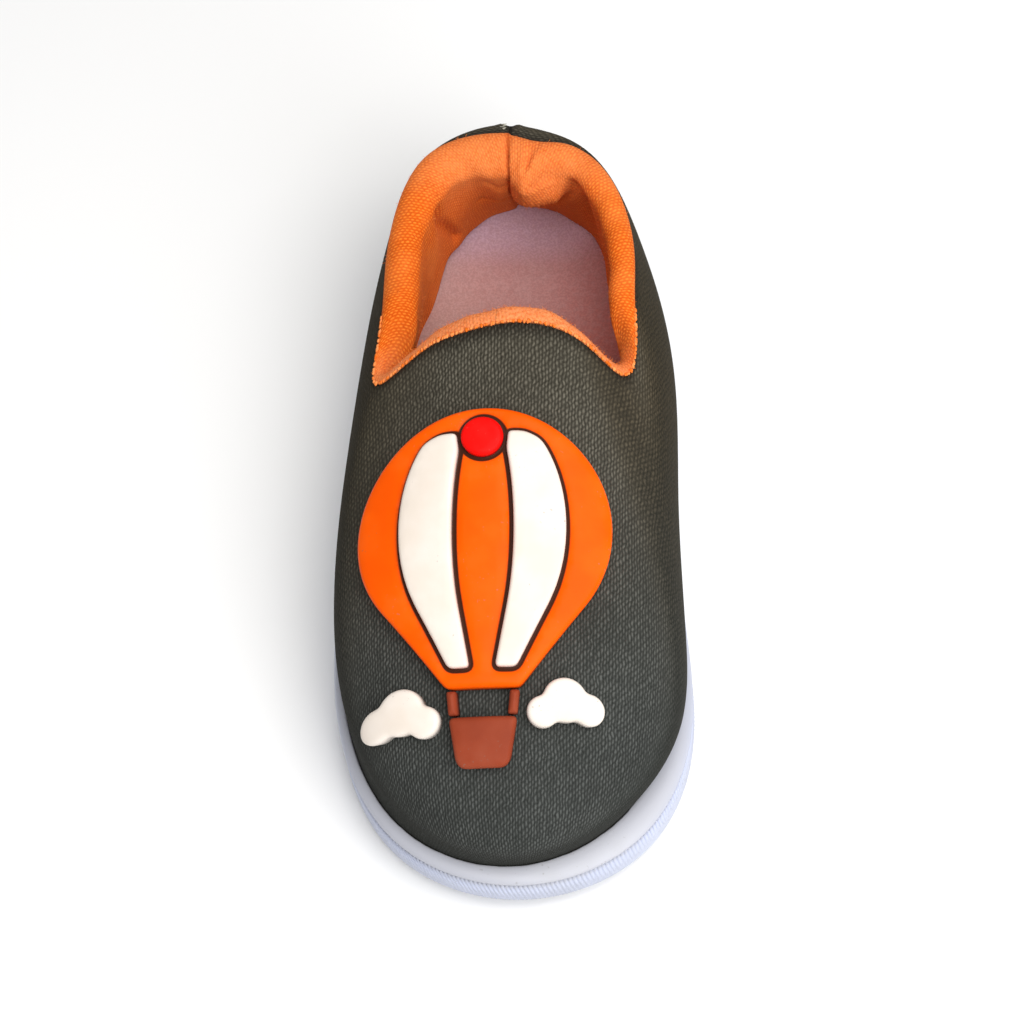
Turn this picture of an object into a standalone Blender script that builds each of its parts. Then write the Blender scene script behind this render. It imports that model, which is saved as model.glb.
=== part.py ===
"""Toddler's slip-on sneaker for the right foot: moulded sole, woven upper, padded collar, insole and badge.

The toe points to -Y, the big-toe (medial) side is +X and the floor is Z = 0. Sizes are in millimetres,
and MM turns them into metres where a mesh is made. Every piece is worked out on one closed loop of ribs
that runs from the back of the heel, along the outer (lateral) side, round the toe and back.
"""

import math

import bmesh
import bpy
import numpy as np
from mathutils import Vector
from mathutils.bvhtree import BVHTree
from mathutils.geometry import delaunay_2d_cdt

MM = 0.001

# Driving dimensions
SOLE_LENGTH = 140.0
BALL_WIDTH = 66.0
INSTEP_HEIGHT = 48.0
WALL = 2.0
GAP = 0.3

# Sole
LIP_DEPTH = 4.0
TOE_SPRING = 4.5
TOE_SPRING_FROM = 0.76
ARCH_LIFT = 1.2
ARCH_MIDDLE = 0.46
ARCH_REACH = 0.13
HEEL_BEVEL = 1.0
HEEL_BEVEL_FROM = 0.07

# Insole and padded collar
INSOLE_THICKNESS = 3.0
HEEL_CUP = 4.2
HEEL_CUP_FROM = 44.0
HEEL_CUP_RUN = 16.0
HEEL_CUP_WIDTH = 4.0
ROLL_PROUD = 0.25
ROLL_SEAT = 0.5

# Mesh shading and density
CREASE_ANGLE = 35
STEPS_PER_RIB = 4
SKIRT_STEPS = 3
RULING_STEPS = 10
LINING_STEPS = 5
ROLL_STEPS = 5

# One rib for each section of the shoe, in three tables. Along is the share of the sole's length from the
# heel, and across the share of half the ball width, minus on the lateral side.
#
# The sole: its outer edge along and across, the height of its rim and the width of its lip.
SOLE_COLUMNS = ("edge_along", "edge_across", "rim", "lip")
SOLE_RIBS = {
    "heel": (0.000, 0.00, 14.0, 2.8),
    "lateral heel corner": (0.048, -0.50, 13.9, 2.6),
    "lateral heel": (0.157, -0.72, 13.5, 2.5),
    "lateral quarter": (0.307, -0.82, 12.6, 2.4),
    "lateral waist": (0.471, -0.91, 11.8, 2.2),
    "lateral ball": (0.643, -0.985, 11.5, 2.0),
    "lateral toe side": (0.800, -0.93, 11.8, 2.2),
    "lateral toe corner": (0.939, -0.615, 12.8, 2.8),
    "toe": (1.000, 0.05, 13.5, 3.7),
    "medial toe corner": (0.936, 0.70, 12.8, 5.1),
    "medial toe side": (0.814, 0.96, 11.8, 4.5),
    "medial ball": (0.686, 0.97, 11.5, 3.2),
    "medial waist": (0.514, 0.885, 11.8, 2.6),
    "medial quarter": (0.329, 0.82, 12.6, 2.5),
    "medial heel": (0.157, 0.72, 13.5, 2.5),
    "medial heel corner": (0.048, 0.48, 13.9, 2.6),
}

# The upper: how far its belly stands out past the sole's edge, the height of the belly, its top edge along,
# across and up (a share of the instep height), and the wall between them: how far it climbs straight up, how
# far back from the top edge its last stretch sets off (a share of the way to the belly) and how far below.
UPPER_COLUMNS = ("overhang", "belly", "collar_along", "collar_across", "collar_up", "rise", "reach", "drop")
UPPER_RIBS = {
    "heel": (0.6, 25.0, 0.0310, 0.00, 0.840, 12.6, 0.80, 0.8),
    "lateral heel corner": (0.2, 24.5, 0.0545, -0.45, 0.805, 9.6, 0.65, 1.4),
    "lateral heel": (0.3, 23.0, 0.150, -0.64, 0.766, 6.0, 0.40, 4.5),
    "lateral quarter": (0.5, 22.0, 0.264, -0.68, 0.755, 6.5, 0.40, 4.0),
    "lateral waist": (-0.2, 21.0, 0.348, -0.71, 0.735, 8.0, 0.45, 3.0),
    "lateral ball": (-1.5, 19.5, 0.398, -0.68, 0.760, 10.0, 0.50, 4.0),
    "lateral toe side": (-2.7, 19.0, 0.384, -0.45, 0.875, 12.0, 0.55, 7.0),
    "lateral toe corner": (-3.5, 19.3, 0.368, -0.24, 0.960, 13.5, 0.58, 10.0),
    "toe": (-3.3, 20.0, 0.358, 0.00, 1.000, 14.0, 0.58, 12.0),
    "medial toe corner": (-4.3, 19.3, 0.363, 0.24, 0.970, 13.5, 0.58, 10.0),
    "medial toe side": (-2.2, 19.0, 0.372, 0.44, 0.895, 12.0, 0.55, 7.0),
    "medial ball": (-1.2, 19.5, 0.390, 0.61, 0.785, 10.0, 0.50, 4.0),
    "medial waist": (0.8, 21.0, 0.346, 0.69, 0.750, 8.0, 0.45, 3.0),
    "medial quarter": (2.6, 22.0, 0.261, 0.69, 0.770, 6.5, 0.40, 4.0),
    "medial heel": (0.9, 23.0, 0.150, 0.65, 0.771, 6.0, 0.40, 4.5),
    "medial heel corner": (0.4, 24.5, 0.0610, 0.44, 0.808, 9.6, 0.68, 1.3),
}

# The padded collar: depth of its lining as a share of the wall, thickness of the pad at its top and at its
# foot, how far it swells between them, how far the rolled edge stands up, how straight the lining spans and
# how upright the roll stands (both 0 to 1, from hugging the wall).
COLLAR_COLUMNS = ("lining", "pad", "foot", "swell", "nose", "taut", "upright")
COLLAR_RIBS = {
    "heel": (1.00, 7.4, 1.0, 0.6, 2.4, 0.90, 1.0),
    "lateral heel corner": (1.00, 6.8, 3.4, -0.6, 2.6, 0.90, 1.0),
    "lateral heel": (1.00, 3.6, 3.2, -0.2, 2.8, 0.95, 1.0),
    "lateral quarter": (0.98, 2.2, 1.2, 0.0, 2.9, 0.95, 1.0),
    "lateral waist": (0.80, 2.0, 1.0, 0.1, 2.7, 0.90, 0.4),
    "lateral ball": (0.38, 1.8, 1.0, 0.1, 2.6, 0.60, 0.0),
    "lateral toe side": (0.15, 1.1, 0.5, 0.0, 2.9, 0.20, 0.0),
    "lateral toe corner": (0.10, 1.0, 0.45, 0.0, 2.8, 0.00, 0.0),
    "toe": (0.09, 1.0, 0.45, 0.0, 2.8, 0.00, 0.0),
    "medial toe corner": (0.10, 1.0, 0.45, 0.0, 2.8, 0.00, 0.0),
    "medial toe side": (0.15, 1.1, 0.5, 0.0, 2.9, 0.20, 0.0),
    "medial ball": (0.38, 1.6, 0.8, 0.0, 2.5, 0.40, 0.0),
    "medial waist": (0.80, 2.2, 0.7, 0.2, 2.5, 0.60, 0.4),
    "medial quarter": (0.94, 2.6, 0.7, 0.3, 2.6, 0.70, 1.0),
    "medial heel": (0.94, 2.6, 0.7, 0.4, 2.6, 0.70, 1.0),
    "medial heel corner": (0.97, 4.6, 0.4, 0.4, 2.6, 0.90, 1.0),
}
RIB_TABLES = ((SOLE_COLUMNS, SOLE_RIBS), (UPPER_COLUMNS, UPPER_RIBS), (COLLAR_COLUMNS, COLLAR_RIBS))

# The side of the sole, from the ground to the bed that the insole lies on. Inset is measured in from the
# outer edge, with a share of the lip's width added, and height is offset from the tread (level 0) or from
# the rim (level 1). Columns: inset, lip share, level, offset.
SIDE_PROFILE = {
    "ground edge": (2.0, 0.0, 0, 0.0),
    "edge round": (0.8, 0.0, 0, 0.45),
    "wall foot": (0.3, 0.0, 0, 1.5),
    "wall top": (0.75, 0.0, 1, -1.95),
    "groove": (1.15, 0.0, 1, -1.6),
    "bead foot": (0.64, 0.0, 1, -1.1),
    "bead": (0.56, 0.05, 1, -0.5),
    "bead top": (0.52, 0.28, 1, -0.08),
    "lip outer": (0.40, 0.55, 1, 0.0),
    "lip inner": (-0.35, 1.0, 1, -0.04),
    "lip wall": (0.0, 1.0, 1, -0.5),
    "bed": (0.0, 1.0, 1, -LIP_DEPTH),
}

# Badge: a balloon with a basket between two clouds, cut to the curve of the vamp
BADGE_X = -3.0
BADGE_Y = -25.5
BADGE_SEAT = 0.45
BADGE_THICKNESS = 2.4
BADGE_RAISED = 1.0
ENVELOPE_CENTRE = 9.5
ENVELOPE_RADIUS = 21.0
ENVELOPE_MOUTH = -17.0
ENVELOPE_MOUTH_HALF = 6.0
ENVELOPE_TAPER_FROM = 40
GORE_INNER = 0.24
GORE_OUTER = 0.64
GORE_MARGIN = 3.2
CROWN_RADIUS = 3.4
CROWN_AT = 25.2
CROWN_GROOVE = 0.7
ROPE_WIDTH = 1.6
BASKET_TOP = -21.5
BASKET_BOTTOM = -29.5
BASKET_HALF_TOP = 5.6
BASKET_HALF_BOTTOM = 4.4
BASKET_CHAMFER = 1.0
# Discs that make up each cloud: across, lengthways, radius
CLOUD_LOBES = {
    "badge_cloud_lateral": ((-9.6, -21.8, 2.6), (-13.4, -19.8, 3.7), (-17.2, -21.2, 2.7)),
    "badge_cloud_medial": ((9.6, -20.8, 2.6), (13.2, -18.8, 3.6), (16.9, -20.2, 2.6)),
}
BADGE_STEP = 3.0
SLOPE_STEP = 1.5
ARC_STEP = 10
CROWN_STEP = 20
GORE_STEPS = 12

# Colour, roughness
FINISHES = {
    "sole": ((0.74, 0.75, 0.80), 0.45),
    "upper": ((0.070, 0.068, 0.058), 0.90),
    "collar": ((0.83, 0.20, 0.030), 0.95),
    "insole": ((0.55, 0.36, 0.34), 0.90),
    "badge_orange": ((0.95, 0.16, 0.006), 0.40),
    "badge_cream": ((0.84, 0.75, 0.66), 0.45),
    "badge_brown": ((0.30, 0.085, 0.045), 0.45),
    "badge_red": ((0.80, 0.010, 0.008), 0.40),
}


def closed_spline(knots, values, at):
    """Smooth closed curve through values at knots, which run from 0 to the loop's length, read at places."""
    step = np.diff(knots)
    count = len(step)
    system = np.zeros((count, count))
    right = np.zeros(count)
    slope = (np.roll(values, -1) - values) / step
    for i in range(count):
        system[i, i - 1] = step[i - 1]
        system[i, i] = 2 * (step[i - 1] + step[i])
        system[i, (i + 1) % count] = step[i]
        right[i] = 6 * (slope[i] - slope[i - 1])
    bend = np.linalg.solve(system, right)
    i = np.clip(np.searchsorted(knots, at, side="right") - 1, 0, count - 1)
    after = (i + 1) % count
    back = (knots[i + 1] - at) / step[i]
    ahead = 1 - back
    curve = ((back**3 - back) * bend[i] + (ahead**3 - ahead) * bend[after]) * step[i] ** 2 / 6
    return back * values[i] + ahead * values[after] + curve


def lengthwise(along):
    """Y of a share of the sole's length, with the heel at plus."""
    return SOLE_LENGTH * (0.5 - along)


def rib_loop(steps):
    """Every column of the ribs, read at steps places from each rib to the next, as arrays by name."""
    table = {}
    for columns, ribs in RIB_TABLES:
        table.update(zip(columns, np.array(list(ribs.values())).T))
    x = table["edge_across"] * BALL_WIDTH / 2
    y = lengthwise(table["edge_along"])
    chords = np.hypot(np.roll(x, -1) - x, np.roll(y, -1) - y)
    knots = np.concatenate([[0], np.cumsum(chords)])
    at = np.concatenate([np.linspace(a, b, steps, endpoint=False) for a, b in zip(knots, knots[1:])])
    loop = {name: closed_spline(knots, values, at) for name, values in table.items()}
    loop["x"] = loop["edge_across"] * BALL_WIDTH / 2
    loop["y"] = lengthwise(loop["edge_along"])
    tangent_x = np.roll(loop["x"], -1) - np.roll(loop["x"], 1)
    tangent_y = np.roll(loop["y"], -1) - np.roll(loop["y"], 1)
    length = np.hypot(tangent_x, tangent_y)
    loop["out_x"] = tangent_y / length
    loop["out_y"] = -tangent_x / length
    return loop


def inset(loop, distance, z):
    """The loop of points that lie a distance inside the sole's outer edge."""
    x = loop["x"] - loop["out_x"] * distance
    y = loop["y"] - loop["out_y"] * distance
    return np.stack([x, y, np.broadcast_to(z, x.shape)], axis=-1)


def tread_height(y):
    """Height of the underside: flat under heel and ball, lifted at the arch, the toe and the heel's back."""
    along = 0.5 - y / SOLE_LENGTH
    toe = np.clip((along - TOE_SPRING_FROM) / (1 - TOE_SPRING_FROM), 0, None) ** 2
    arch = np.clip(1 - ((along - ARCH_MIDDLE) / ARCH_REACH) ** 2, 0, None) ** 2
    heel = np.clip(1 - along / HEEL_BEVEL_FROM, 0, None) ** 2
    return TOE_SPRING * toe + ARCH_LIFT * arch + HEEL_BEVEL * heel


def bed_height(loop):
    return loop["rim"] - LIP_DEPTH


def heel_cup(loop):
    """How far the insole's edge is raised round the heel."""
    share = np.clip((loop["y"] - HEEL_CUP_FROM) / HEEL_CUP_RUN, 0, 1)
    return HEEL_CUP * share**2 * (3 - 2 * share)


def unit(vectors):
    return vectors / np.linalg.norm(vectors, axis=-1, keepdims=True)


def upper_outside(loop, skirt_steps, ruling_steps):
    """Outer face of the upper as a grid: round the loop, then up from the sole's bed to the collar."""
    foot_inset = loop["lip"] + GAP
    rows = [inset(loop, foot_inset, bed_height(loop) + GAP)]
    for share in np.linspace(0, 1, skirt_steps + 1):
        swell = math.sin(share * math.pi / 2)
        z = loop["rim"] + share * (loop["belly"] - loop["rim"])
        rows.append(inset(loop, foot_inset - swell * (foot_inset + loop["overhang"]), z))
    belly = rows[-1]
    collar = np.stack(
        [
            loop["collar_across"] * BALL_WIDTH / 2,
            lengthwise(loop["collar_along"]),
            loop["collar_up"] * INSTEP_HEIGHT,
        ],
        axis=-1,
    )
    climb = belly + loop["rise"][:, None] * np.array([0, 0, 1])
    settle = collar + loop["reach"][:, None] * (belly - collar)
    settle[:, 2] = collar[:, 2] - loop["drop"]
    for t in np.linspace(0, 1, ruling_steps + 1)[1:]:
        s = 1 - t
        rows.append(s**3 * belly + 3 * s * s * t * climb + 3 * s * t * t * settle + t**3 * collar)
    return np.stack(rows, axis=1)


def outward_normals(grid):
    """Unit normals of a grid that is closed round its first axis."""
    around = np.roll(grid, -1, axis=0) - np.roll(grid, 1, axis=0)
    upward = np.gradient(grid, axis=1)
    return unit(np.cross(around, upward))


def ring_faces(count, rows, closed):
    """Quads of a grid that is closed round its first axis, and across its rows too where closed is set."""
    faces = []
    for i in range(count):
        after = (i + 1) % count
        for row in range(rows if closed else rows - 1):
            above = (row + 1) % rows
            faces.append((i * rows + row, after * rows + row, after * rows + above, i * rows + above))
    return faces


def strip_faces(count, rows, row):
    """Strips from side to side that fill one row of a grid whose loop starts at the heel."""
    half = count // 2
    at = [i * rows + row for i in range(count)]
    faces = [(at[0], at[1], at[-1]), (at[half - 1], at[half], at[half + 1])]
    for i in range(1, half - 1):
        faces.append((at[i], at[i + 1], at[count - i - 1], at[count - i]))
    return faces


def finish_material(name):
    colour, roughness = FINISHES[name]
    material = bpy.data.materials.new(name)
    material.use_nodes = True
    shader = material.node_tree.nodes["Principled BSDF"]
    shader.inputs["Base Color"].default_value = (*colour, 1)
    shader.inputs["Roughness"].default_value = roughness
    shader.inputs["Metallic"].default_value = 0
    material.diffuse_color = (*colour, 1)
    return material


def add_solid(name, points, faces, material, parent):
    """A named object with its faces turned out, from points in millimetres."""
    mesh = bpy.data.meshes.new(name)
    mesh.from_pydata((np.asarray(points).reshape(-1, 3) * MM).tolist(), [], faces)
    work = bmesh.new()
    work.from_mesh(mesh)
    bmesh.ops.recalc_face_normals(work, faces=work.faces)
    work.to_mesh(mesh)
    work.free()
    mesh.shade_smooth()
    mesh.set_sharp_from_angle(angle=math.radians(CREASE_ANGLE))
    obj = bpy.data.objects.new(name, mesh)
    bpy.context.scene.collection.objects.link(obj)
    obj.parent = parent
    mesh.materials.append(material)


def build_sole(loop, material, parent):
    """Moulded cup sole: tread, ribbed side wall, bead, lip and the bed inside the lip."""
    rows = []
    for inset_by, lip_share, level, offset in SIDE_PROFILE.values():
        row = inset(loop, inset_by + lip_share * loop["lip"], 0)
        row[:, 2] = offset + (loop["rim"] if level else tread_height(row[:, 1]))
        rows.append(row)
    grid = np.stack(rows, axis=1)
    count, depth = grid.shape[:2]
    faces = ring_faces(count, depth, False)
    faces += strip_faces(count, depth, 0) + strip_faces(count, depth, depth - 1)
    add_solid("sole", grid, faces, material, parent)


def build_upper(loop, material, parent):
    """Woven upper: one wall, open at the collar and underneath."""
    outside = upper_outside(loop, SKIRT_STEPS, RULING_STEPS)
    inside = outside - WALL * outward_normals(outside)
    inside[:, 0, 2] = outside[:, 0, 2]
    section = np.concatenate([outside, inside[:, ::-1]], axis=1)
    add_solid("upper", section, ring_faces(*section.shape[:2], True), material, parent)


def build_insole(loop, material, parent):
    """Foam sheet on the sole's bed, inside the foot of the upper, with its edge raised round the heel."""
    side = loop["lip"] + GAP + WALL + GAP
    low = bed_height(loop) + GAP
    high = low + INSOLE_THICKNESS
    rows = [inset(loop, side, low), inset(loop, side, high + heel_cup(loop))]
    rows.append(inset(loop, side + HEEL_CUP_WIDTH, high))
    grid = np.stack(rows, axis=1)
    count, depth = grid.shape[:2]
    faces = ring_faces(count, depth, False)
    faces += strip_faces(count, depth, 0) + strip_faces(count, depth, depth - 1)
    add_solid("insole", grid, faces, material, parent)


def collar_section(wall, normals, level, size, floor):
    """Closed section of the collar at one rib: the roll over the upper's edge, then the padded lining.

    Wall is the upper's outer face at this rib, from the top edge down, and normals go with it. Level points
    straight out, size holds the rib's own values, and floor is the height that the lining's foot stays above.
    """
    under = wall - (WALL + GAP) * normals
    fall = np.concatenate([[0], np.cumsum(np.linalg.norm(np.diff(under, axis=0), axis=1))])
    share = np.linspace(0, 1, LINING_STEPS + 1)[:, None]
    places = share[:, 0] * size["lining"] * np.interp(-floor, -under[:, 2], fall)
    back = np.stack([np.interp(places, fall, under[:, k]) for k in range(3)], axis=-1)
    square = np.stack([np.interp(places, fall, normals[:, k]) for k in range(3)], axis=-1)
    out = unit(square + size["upright"] * (level - square))
    hugging = back - out * (size["pad"] + (size["foot"] - size["pad"]) * share**2)
    straight = hugging[0] + share * (hugging[-1] - hugging[0])
    swell = size["swell"] * np.sin(math.pi * share**0.75)
    front = hugging + size["taut"] * (straight - hugging) - out * swell
    past_edge = unit(wall[0] - wall[1])
    edge = wall[0] + normals[0] * ROLL_PROUD + past_edge * ROLL_SEAT
    half_span = (edge - front[0]) / 2
    crest = past_edge + size["upright"] * (np.array([0, 0, 1]) - past_edge)
    crest = unit(crest - half_span * (crest @ half_span) / (half_span @ half_span))
    angles = np.linspace(0, math.pi, ROLL_STEPS + 2)[:-1, None]
    roll = front[0] + half_span * (1 + np.cos(angles)) + size["nose"] * crest * np.sin(angles)
    shoulder = back[0] + past_edge * ROLL_SEAT
    return np.concatenate([roll, front, back[:0:-1], [shoulder]])


def build_collar(loop, material, parent):
    """Padded collar: rolls over the upper's edge and runs down inside it as a lining."""
    outside = upper_outside(loop, SKIRT_STEPS, RULING_STEPS)
    normals = outward_normals(outside)
    floor = bed_height(loop) + INSOLE_THICKNESS + heel_cup(loop) + 3 * GAP
    sections = []
    for i in range(len(outside)):
        level = np.array([loop["out_x"][i], loop["out_y"][i], 0])
        size = {name: loop[name][i] for name in COLLAR_COLUMNS}
        size["upright"] = min(max(size["upright"], 0), 1)
        sections.append(collar_section(outside[i, ::-1], normals[i, ::-1], level, size, floor[i]))
    section = np.stack(sections)
    add_solid("collar", section, ring_faces(*section.shape[:2], True), material, parent)


def vamp_tree(loop):
    """The outer face of the upper as a tree to drop points on."""
    grid = upper_outside(loop, SKIRT_STEPS, RULING_STEPS)
    return BVHTree.FromPolygons(grid.reshape(-1, 3).tolist(), ring_faces(*grid.shape[:2], False))


def on_vamp(tree, p, q):
    """Point of the vamp under a place of the badge, and the vamp's normal there."""
    x = BADGE_X + p
    y = BADGE_Y + q

    def height(dx, dy):
        place = Vector((x + dx, y + dy, 2 * INSTEP_HEIGHT))
        return tree.ray_cast(place, Vector((0, 0, -1)))[0].z

    slope_x = (height(SLOPE_STEP, 0) - height(-SLOPE_STEP, 0)) / (2 * SLOPE_STEP)
    slope_y = (height(0, SLOPE_STEP) - height(0, -SLOPE_STEP)) / (2 * SLOPE_STEP)
    return np.array([x, y, height(0, 0)]), np.array(Vector((-slope_x, -slope_y, 1)).normalized())


def inner_places(outline):
    """Places of a square grid that lie inside an outline and clear of its line."""
    points = np.array(outline)
    after = np.roll(points, -1, axis=0)
    side = after - points
    low = np.floor(points.min(axis=0) / BADGE_STEP) * BADGE_STEP
    places = []
    for p in np.arange(low[0], points[:, 0].max(), BADGE_STEP):
        for q in np.arange(low[1], points[:, 1].max(), BADGE_STEP):
            offset = np.array([p, q]) - points
            share = np.clip((offset * side).sum(axis=1) / (side * side).sum(axis=1), 0, 1)
            nearest = np.linalg.norm(offset - share[:, None] * side, axis=1).min()
            spans = (points[:, 1] > q) != (after[:, 1] > q)
            run = np.where(spans, side[:, 1], 1)
            crossings = spans & (p < points[:, 0] + side[:, 0] * (q - points[:, 1]) / run)
            if crossings.sum() % 2 and nearest > BADGE_STEP / 3:
                places.append((float(p), float(q)))
    return places


def add_badge_piece(name, outline, tree, low, high, material, parent):
    """A badge piece: an outline laid on the vamp, solid between two heights over the upper's own surface."""
    count = len(outline)
    flat = [Vector(place) for place in outline + inner_places(outline)]
    rim = [(i, (i + 1) % count) for i in range(count)]
    places, _, triangles, *_ = delaunay_2d_cdt(flat, rim, [], 1, 1e-6)
    lay = [on_vamp(tree, *place) for place in places]
    points = [point + height * normal for height in (low, high) for point, normal in lay]
    total = len(places)
    faces = [tuple(face) for face in triangles]
    faces += [tuple(total + i for i in face[::-1]) for face in triangles]
    faces += [(i, j, total + j, total + i) for i, j in rim]
    add_solid(name, points, faces, material, parent)


def arc(middle, radius, start, end, step):
    """Points on a circle whose middle is on the badge's axis, from one angle to another, in degrees."""
    angles = np.radians(np.arange(start, end + step / 2, step))
    return [(radius * math.cos(a), middle + radius * math.sin(a)) for a in angles]


def envelope_half_width(q):
    """Half the width of the balloon at a height: a ball above, drawn in straight to its mouth below."""
    touch = ENVELOPE_CENTRE - ENVELOPE_RADIUS * math.sin(math.radians(ENVELOPE_TAPER_FROM))
    if q >= touch:
        return math.sqrt(max(ENVELOPE_RADIUS**2 - (q - ENVELOPE_CENTRE) ** 2, 0))
    widest = envelope_half_width(touch)
    share = (q - ENVELOPE_MOUTH) / (touch - ENVELOPE_MOUTH)
    return ENVELOPE_MOUTH_HALF + (widest - ENVELOPE_MOUTH_HALF) * share


def envelope_outline():
    ball = arc(ENVELOPE_CENTRE, ENVELOPE_RADIUS, -ENVELOPE_TAPER_FROM, 180 + ENVELOPE_TAPER_FROM, ARC_STEP)
    return ball + [(-ENVELOPE_MOUTH_HALF, ENVELOPE_MOUTH), (ENVELOPE_MOUTH_HALF, ENVELOPE_MOUTH)]


def between_crown_and_margin(p, q):
    """A point of a gore, moved out of the groove round the crown and in from the balloon's outer margin."""
    grow = max((CROWN_RADIUS + CROWN_GROOVE) / math.hypot(p, q - CROWN_AT), 1)
    p, q = p * grow, CROWN_AT + (q - CROWN_AT) * grow
    shrink = min((ENVELOPE_RADIUS - GORE_MARGIN) / math.hypot(p, q - ENVELOPE_CENTRE), 1)
    return (p * shrink, ENVELOPE_CENTRE + (q - ENVELOPE_CENTRE) * shrink) if q > ENVELOPE_CENTRE else (p, q)


def gore_outline(side):
    """One raised panel of the balloon, between two seams that follow its outline."""
    top = ENVELOPE_CENTRE + ENVELOPE_RADIUS - GORE_MARGIN
    bottom = ENVELOPE_MOUTH + GORE_MARGIN
    quarter_turn = np.linspace(0, math.pi / 2, GORE_STEPS + 1)
    heights = [bottom + (top - bottom) * math.sin(turn) for turn in quarter_turn]
    below_crown = [q for q in heights if q < CROWN_AT + CROWN_GROOVE]
    inner = [between_crown_and_margin(side * GORE_INNER * envelope_half_width(q), q) for q in below_crown]
    outer = [between_crown_and_margin(side * GORE_OUTER * envelope_half_width(q), q) for q in heights]
    return inner + outer[::-1]


def rope_outline(side):
    top = (side * (ENVELOPE_MOUTH_HALF - ROPE_WIDTH), ENVELOPE_MOUTH - GAP)
    foot = (side * (BASKET_HALF_TOP - ROPE_WIDTH), BASKET_TOP + GAP)
    return [foot, (foot[0] + side * ROPE_WIDTH, foot[1]), (top[0] + side * ROPE_WIDTH, top[1]), top]


def basket_outline():
    return [
        (-BASKET_HALF_TOP, BASKET_TOP),
        (-BASKET_HALF_BOTTOM, BASKET_BOTTOM + BASKET_CHAMFER),
        (BASKET_CHAMFER - BASKET_HALF_BOTTOM, BASKET_BOTTOM),
        (BASKET_HALF_BOTTOM - BASKET_CHAMFER, BASKET_BOTTOM),
        (BASKET_HALF_BOTTOM, BASKET_BOTTOM + BASKET_CHAMFER),
        (BASKET_HALF_TOP, BASKET_TOP),
    ]


def cloud_outline(lobes):
    """The outer line round a row of overlapping discs, met from their common middle."""
    middle = np.mean([(p, q) for p, q, _ in lobes], axis=0)
    outline = []
    for angle in np.radians(np.arange(0, 360, ARC_STEP)):
        ray = np.array([math.cos(angle), math.sin(angle)])
        reach = 0.0
        for p, q, radius in lobes:
            offset = np.array([p, q]) - middle
            along = offset @ ray
            miss = offset @ offset - along**2
            if miss < radius**2:
                reach = max(reach, along + math.sqrt(radius**2 - miss))
        outline.append(tuple(middle + reach * ray))
    return outline


def build_badge(loop, materials, parent):
    """Soft moulded badge on the vamp: balloon, raised gores, crown, ropes, basket and clouds."""
    tree = vamp_tree(loop)
    flat = (tree, BADGE_SEAT, BADGE_SEAT + BADGE_THICKNESS)
    raised_from = BADGE_SEAT + BADGE_THICKNESS + GAP
    raised = (tree, raised_from, raised_from + BADGE_RAISED)
    add_badge_piece("badge_envelope", envelope_outline(), *flat, materials["badge_orange"], parent)
    for side, name in ((-1, "lateral"), (1, "medial")):
        add_badge_piece("badge_gore_" + name, gore_outline(side), *raised, materials["badge_cream"], parent)
        add_badge_piece("badge_rope_" + name, rope_outline(side), *flat, materials["badge_brown"], parent)
    crown = arc(CROWN_AT, CROWN_RADIUS, 0, 360 - CROWN_STEP, CROWN_STEP)
    add_badge_piece("badge_crown", crown, *raised, materials["badge_red"], parent)
    add_badge_piece("badge_basket", basket_outline(), *flat, materials["badge_brown"], parent)
    for name, lobes in CLOUD_LOBES.items():
        add_badge_piece(name, cloud_outline(lobes), *flat, materials["badge_cream"], parent)


def main():
    for obj in list(bpy.data.objects):
        bpy.data.objects.remove(obj)
    shoe = bpy.data.objects.new("shoe", None)
    bpy.context.scene.collection.objects.link(shoe)
    materials = {name: finish_material(name) for name in FINISHES}
    loop = rib_loop(STEPS_PER_RIB)
    build_sole(loop, materials["sole"], shoe)
    build_insole(loop, materials["insole"], shoe)
    build_upper(loop, materials["upper"], shoe)
    build_collar(loop, materials["collar"], shoe)
    build_badge(loop, materials, shoe)


main()
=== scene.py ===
"""Dresses the toddler's slip-on sneaker: moulded sole, foam insole, woven upper, padded collar, soft badge.

The toe points to -Y, the big-toe (medial) side is +X and the floor is Z = 0. Sizes are in millimetres
unless a comment says metres, and MM turns them into metres where a mesh is made.
"""

import math

import bmesh
import bpy
import numpy as np
from mathutils import Matrix, Vector
from mathutils.bvhtree import BVHTree
from mathutils.geometry import delaunay_2d_cdt


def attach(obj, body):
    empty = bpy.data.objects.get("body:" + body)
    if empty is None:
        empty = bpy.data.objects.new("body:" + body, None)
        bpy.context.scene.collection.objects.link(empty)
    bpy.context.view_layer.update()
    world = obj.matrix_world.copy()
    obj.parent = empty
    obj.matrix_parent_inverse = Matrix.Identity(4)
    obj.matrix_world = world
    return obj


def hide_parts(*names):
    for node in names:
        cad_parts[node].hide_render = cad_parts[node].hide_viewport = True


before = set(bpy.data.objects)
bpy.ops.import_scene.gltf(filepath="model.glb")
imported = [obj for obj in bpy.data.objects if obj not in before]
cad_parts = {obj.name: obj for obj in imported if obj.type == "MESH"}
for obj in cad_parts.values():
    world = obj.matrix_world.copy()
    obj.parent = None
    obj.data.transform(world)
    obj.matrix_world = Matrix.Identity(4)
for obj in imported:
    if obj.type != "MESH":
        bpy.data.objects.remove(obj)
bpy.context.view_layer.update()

# Sole
# One cup of white rubber, moulded in one piece: a smooth rolled rim, a fine parting groove, a side wall
# and a bed. The upper is glued down inside its lip.
MM = 0.001
SOLE_LENGTH = 140.0
HALF_BALL = 33.0
STEPS_PER_SECTION = 32
LIP_DEPTH = 4.0
TOE_SPRING = 4.5
TOE_SPRING_FROM = 0.76
ARCH_LIFT = 1.2
ARCH_MIDDLE = 0.46
ARCH_REACH = 0.13
HEEL_BEVEL = 1.0
HEEL_BEVEL_FROM = 0.07

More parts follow.
